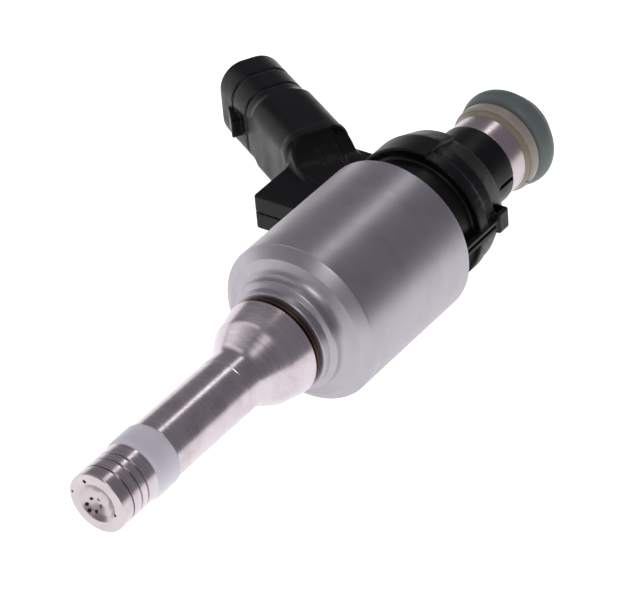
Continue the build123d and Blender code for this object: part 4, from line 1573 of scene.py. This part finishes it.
class INJECTOR_OT_inner_finishes(bpy.types.Operator):
    """Gives the carried-over CAD pieces their finishes."""

    bl_idname = "injector.inner_finishes"
    bl_label = "Inner finishes"

    def execute(self, context):
        # Stamped stainless sheet: even grey, with soft highlights.
        guide = turned_steel("Stamped stainless steel", linear("#a29f9c"), 0.3)
        # Ground tool steel: bright, with sharp lines along the needle.
        needle = turned_steel("Ground tool steel", linear("#aaa8a8"), 0.18)
        # Lapped bearing steel: a near mirror.
        ball = turned_steel("Lapped bearing steel", linear("#b9b8ba"), 0.08, depth=0.0004)
        # Turned magnetic steel: dull grey, with visible tool rings.
        magnet = turned_steel("Turned magnetic steel", linear("#8f8c8a"), 0.32)
        # Drawn stainless tube: smooth, with one long highlight.
        sleeve = turned_steel("Drawn stainless tube", linear("#a5a2a0"), 0.26)
        # Tin plate on stamped bronze: pale and slightly warm.
        tin = turned_steel("Tin-plated bronze, stamped", linear("#b7b4ac"), 0.32)
        # Moulded polyester: dark grey and matt.
        bobbin = moulded_plastic("Polyester, moulded", linear("#2c2c2e"), 0.45)
        # Moulded polyamide: mid grey, a little glossier than the bobbin.
        frame_plastic = moulded_plastic("Polyamide, moulded", linear("#4a4a48"), 0.42)
        for material, names in (
            (guide, ("ball_guide", "needle_guide", "adjusting_tube")),
            (needle, ("needle_rod", "lower_stop", "upper_stop")),
            (ball, ("valve_ball",)),
            (magnet, ("armature", "pole_core", "pole_cover")),
            (sleeve, ("valve_sleeve",)),
            (tin, ("terminal_upper", "terminal_lower")),
            (bobbin, ("coil_bobbin",)),
            (frame_plastic, ("filter_frame",)),
        ):
            for name in names:
                NODES[name].data.materials.clear()
                NODES[name].data.materials.append(material)
        return {"FINISHED"}


# ---------------------------------------------------------------- stage
def area_light(name, place, target, width, height, power):
    """A soft rectangular light aimed at a point; sizes and places in millimetres."""
    data = bpy.data.lights.new(name, "AREA")
    data.shape = "RECTANGLE"
    data.size, data.size_y = width * MM, height * MM
    data.energy = power
    lamp = bpy.data.objects.new(name, data)
    lamp.location = Vector(place) * MM
    aim = (Vector(target) - Vector(place)).normalized()
    lamp.rotation_mode = "QUATERNION"
    lamp.rotation_quaternion = aim.to_track_quat("-Z", "Y")
    bpy.context.scene.collection.objects.link(lamp)
    return lamp


class INJECTOR_OT_stage(bpy.types.Operator):
    """Makes the floor, the soft lights, the surroundings and the camera."""

    bl_idname = "injector.stage"
    bl_label = "Stage"

    def execute(self, context):
        stage = context.scene.injector.stage
        floor_z = CAD_BOX[0].z
        mesh = bpy.data.meshes.new("floor")
        half = 3.0           # metres, well past the edge of the view
        corners = ((-half, -half), (half, -half), (half, half), (-half, half))
        mesh.from_pydata([(x, y, floor_z) for x, y in corners], [], [(0, 1, 2, 3)])
        floor = bpy.data.objects.new("floor", mesh)
        context.scene.collection.objects.link(floor)
        # Backlit white acrylic: an even white that the metal mirrors from below.
        acrylic = start_finish(
            "White acrylic, backlit",
            (0.8, 0.8, 0.8),
            0.0,
            0.9,
            Emission_Color=(1, 1, 1, 1),
            Emission_Strength=stage.floor_glow,
        )[0]
        mesh.materials.append(acrylic)
        # A long strip over the connector, a narrow light behind and a square one in front.
        for name, place, width, height, power in (
            ("strip", (-420, 0, 290), 120, 900, stage.strip_power),
            ("ridge", (-75, 300, 345), 60, 260, stage.ridge_power),
            ("fill", (60, -330, 420), 160, 160, stage.fill_power),
        ):
            area_light(name, place, (0, 0, 0), width, height, power)
        world = bpy.data.worlds.new("Surroundings")
        world.use_nodes = True
        backdrop = world.node_tree.nodes["Background"]
        backdrop.inputs["Color"].default_value = (*stage.surroundings, 1)
        backdrop.inputs["Strength"].default_value = 1.0
        context.scene.world = world
        context.scene.view_settings.view_transform = "Standard"
        data = bpy.data.cameras.new("camera")
        data.sensor_width = 36
        data.lens = stage.focal
        data.clip_start, data.clip_end = 0.01, 20
        camera = bpy.data.objects.new("camera", data)
        context.scene.collection.objects.link(camera)
        a, e = stage.azimuth, stage.elevation
        forward = Vector(
            (-math.sin(a) * math.cos(e), math.cos(a) * math.cos(e), -math.sin(e))
        )
        looked_at = Vector((-2.88, 6.71, -2.37)) * MM
        level = Matrix.Translation(looked_at - forward * stage.distance) @ (
            forward.to_track_quat("-Z", "Y").to_matrix().to_4x4()
        )
        camera.matrix_world = Matrix.Rotation(stage.roll, 4, "Y") @ level
        context.scene.camera = camera
        return {"FINISHED"}


# ---------------------------------------------------------------- panel and run
OPERATORS = (
    INJECTOR_OT_nozzle_tip,
    INJECTOR_OT_nozzle_tube,
    INJECTOR_OT_combustion_seal,
    INJECTOR_OT_spacer_ring,
    INJECTOR_OT_solenoid_can,
    INJECTOR_OT_moulded_body,
    INJECTOR_OT_inlet_tube,
    INJECTOR_OT_inlet_rings,
    INJECTOR_OT_inlet_filter,
    INJECTOR_OT_wound_wire,
    INJECTOR_OT_inner_finishes,
    INJECTOR_OT_stage,
)


class INJECTOR_PT_pieces(bpy.types.Panel):
    """Lists the injector's pieces."""

    bl_idname = "INJECTOR_PT_pieces"
    bl_label = "Fuel injector"
    bl_space_type = "VIEW_3D"
    bl_region_type = "UI"
    bl_category = "Injector"

    def draw(self, context):
        for operator in OPERATORS:
            self.layout.operator(operator.bl_idname)


CLASSES = (
    NozzleSizes,
    CanSizes,
    BodySizes,
    ConnectorSizes,
    InletSizes,
    FinishColours,
    StageSettings,
    InjectorSettings,
    *OPERATORS,
    INJECTOR_PT_pieces,
)


def register():
    """Registers the settings, the operators and the panel."""
    for kind in CLASSES:
        bpy.utils.register_class(kind)
    bpy.types.Scene.injector = PointerProperty(
        type=InjectorSettings, name="Injector", description="Injector settings"
    )


def unregister():
    """Removes the settings, the operators and the panel."""
    del bpy.types.Scene.injector
    for kind in reversed(CLASSES):
        bpy.utils.unregister_class(kind)


def main():
    """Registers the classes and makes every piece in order."""
    register()
    for operator in OPERATORS:
        group, name = operator.bl_idname.split(".")
        getattr(getattr(bpy.ops, group), name)()


if __name__ == "__main__":
    main()
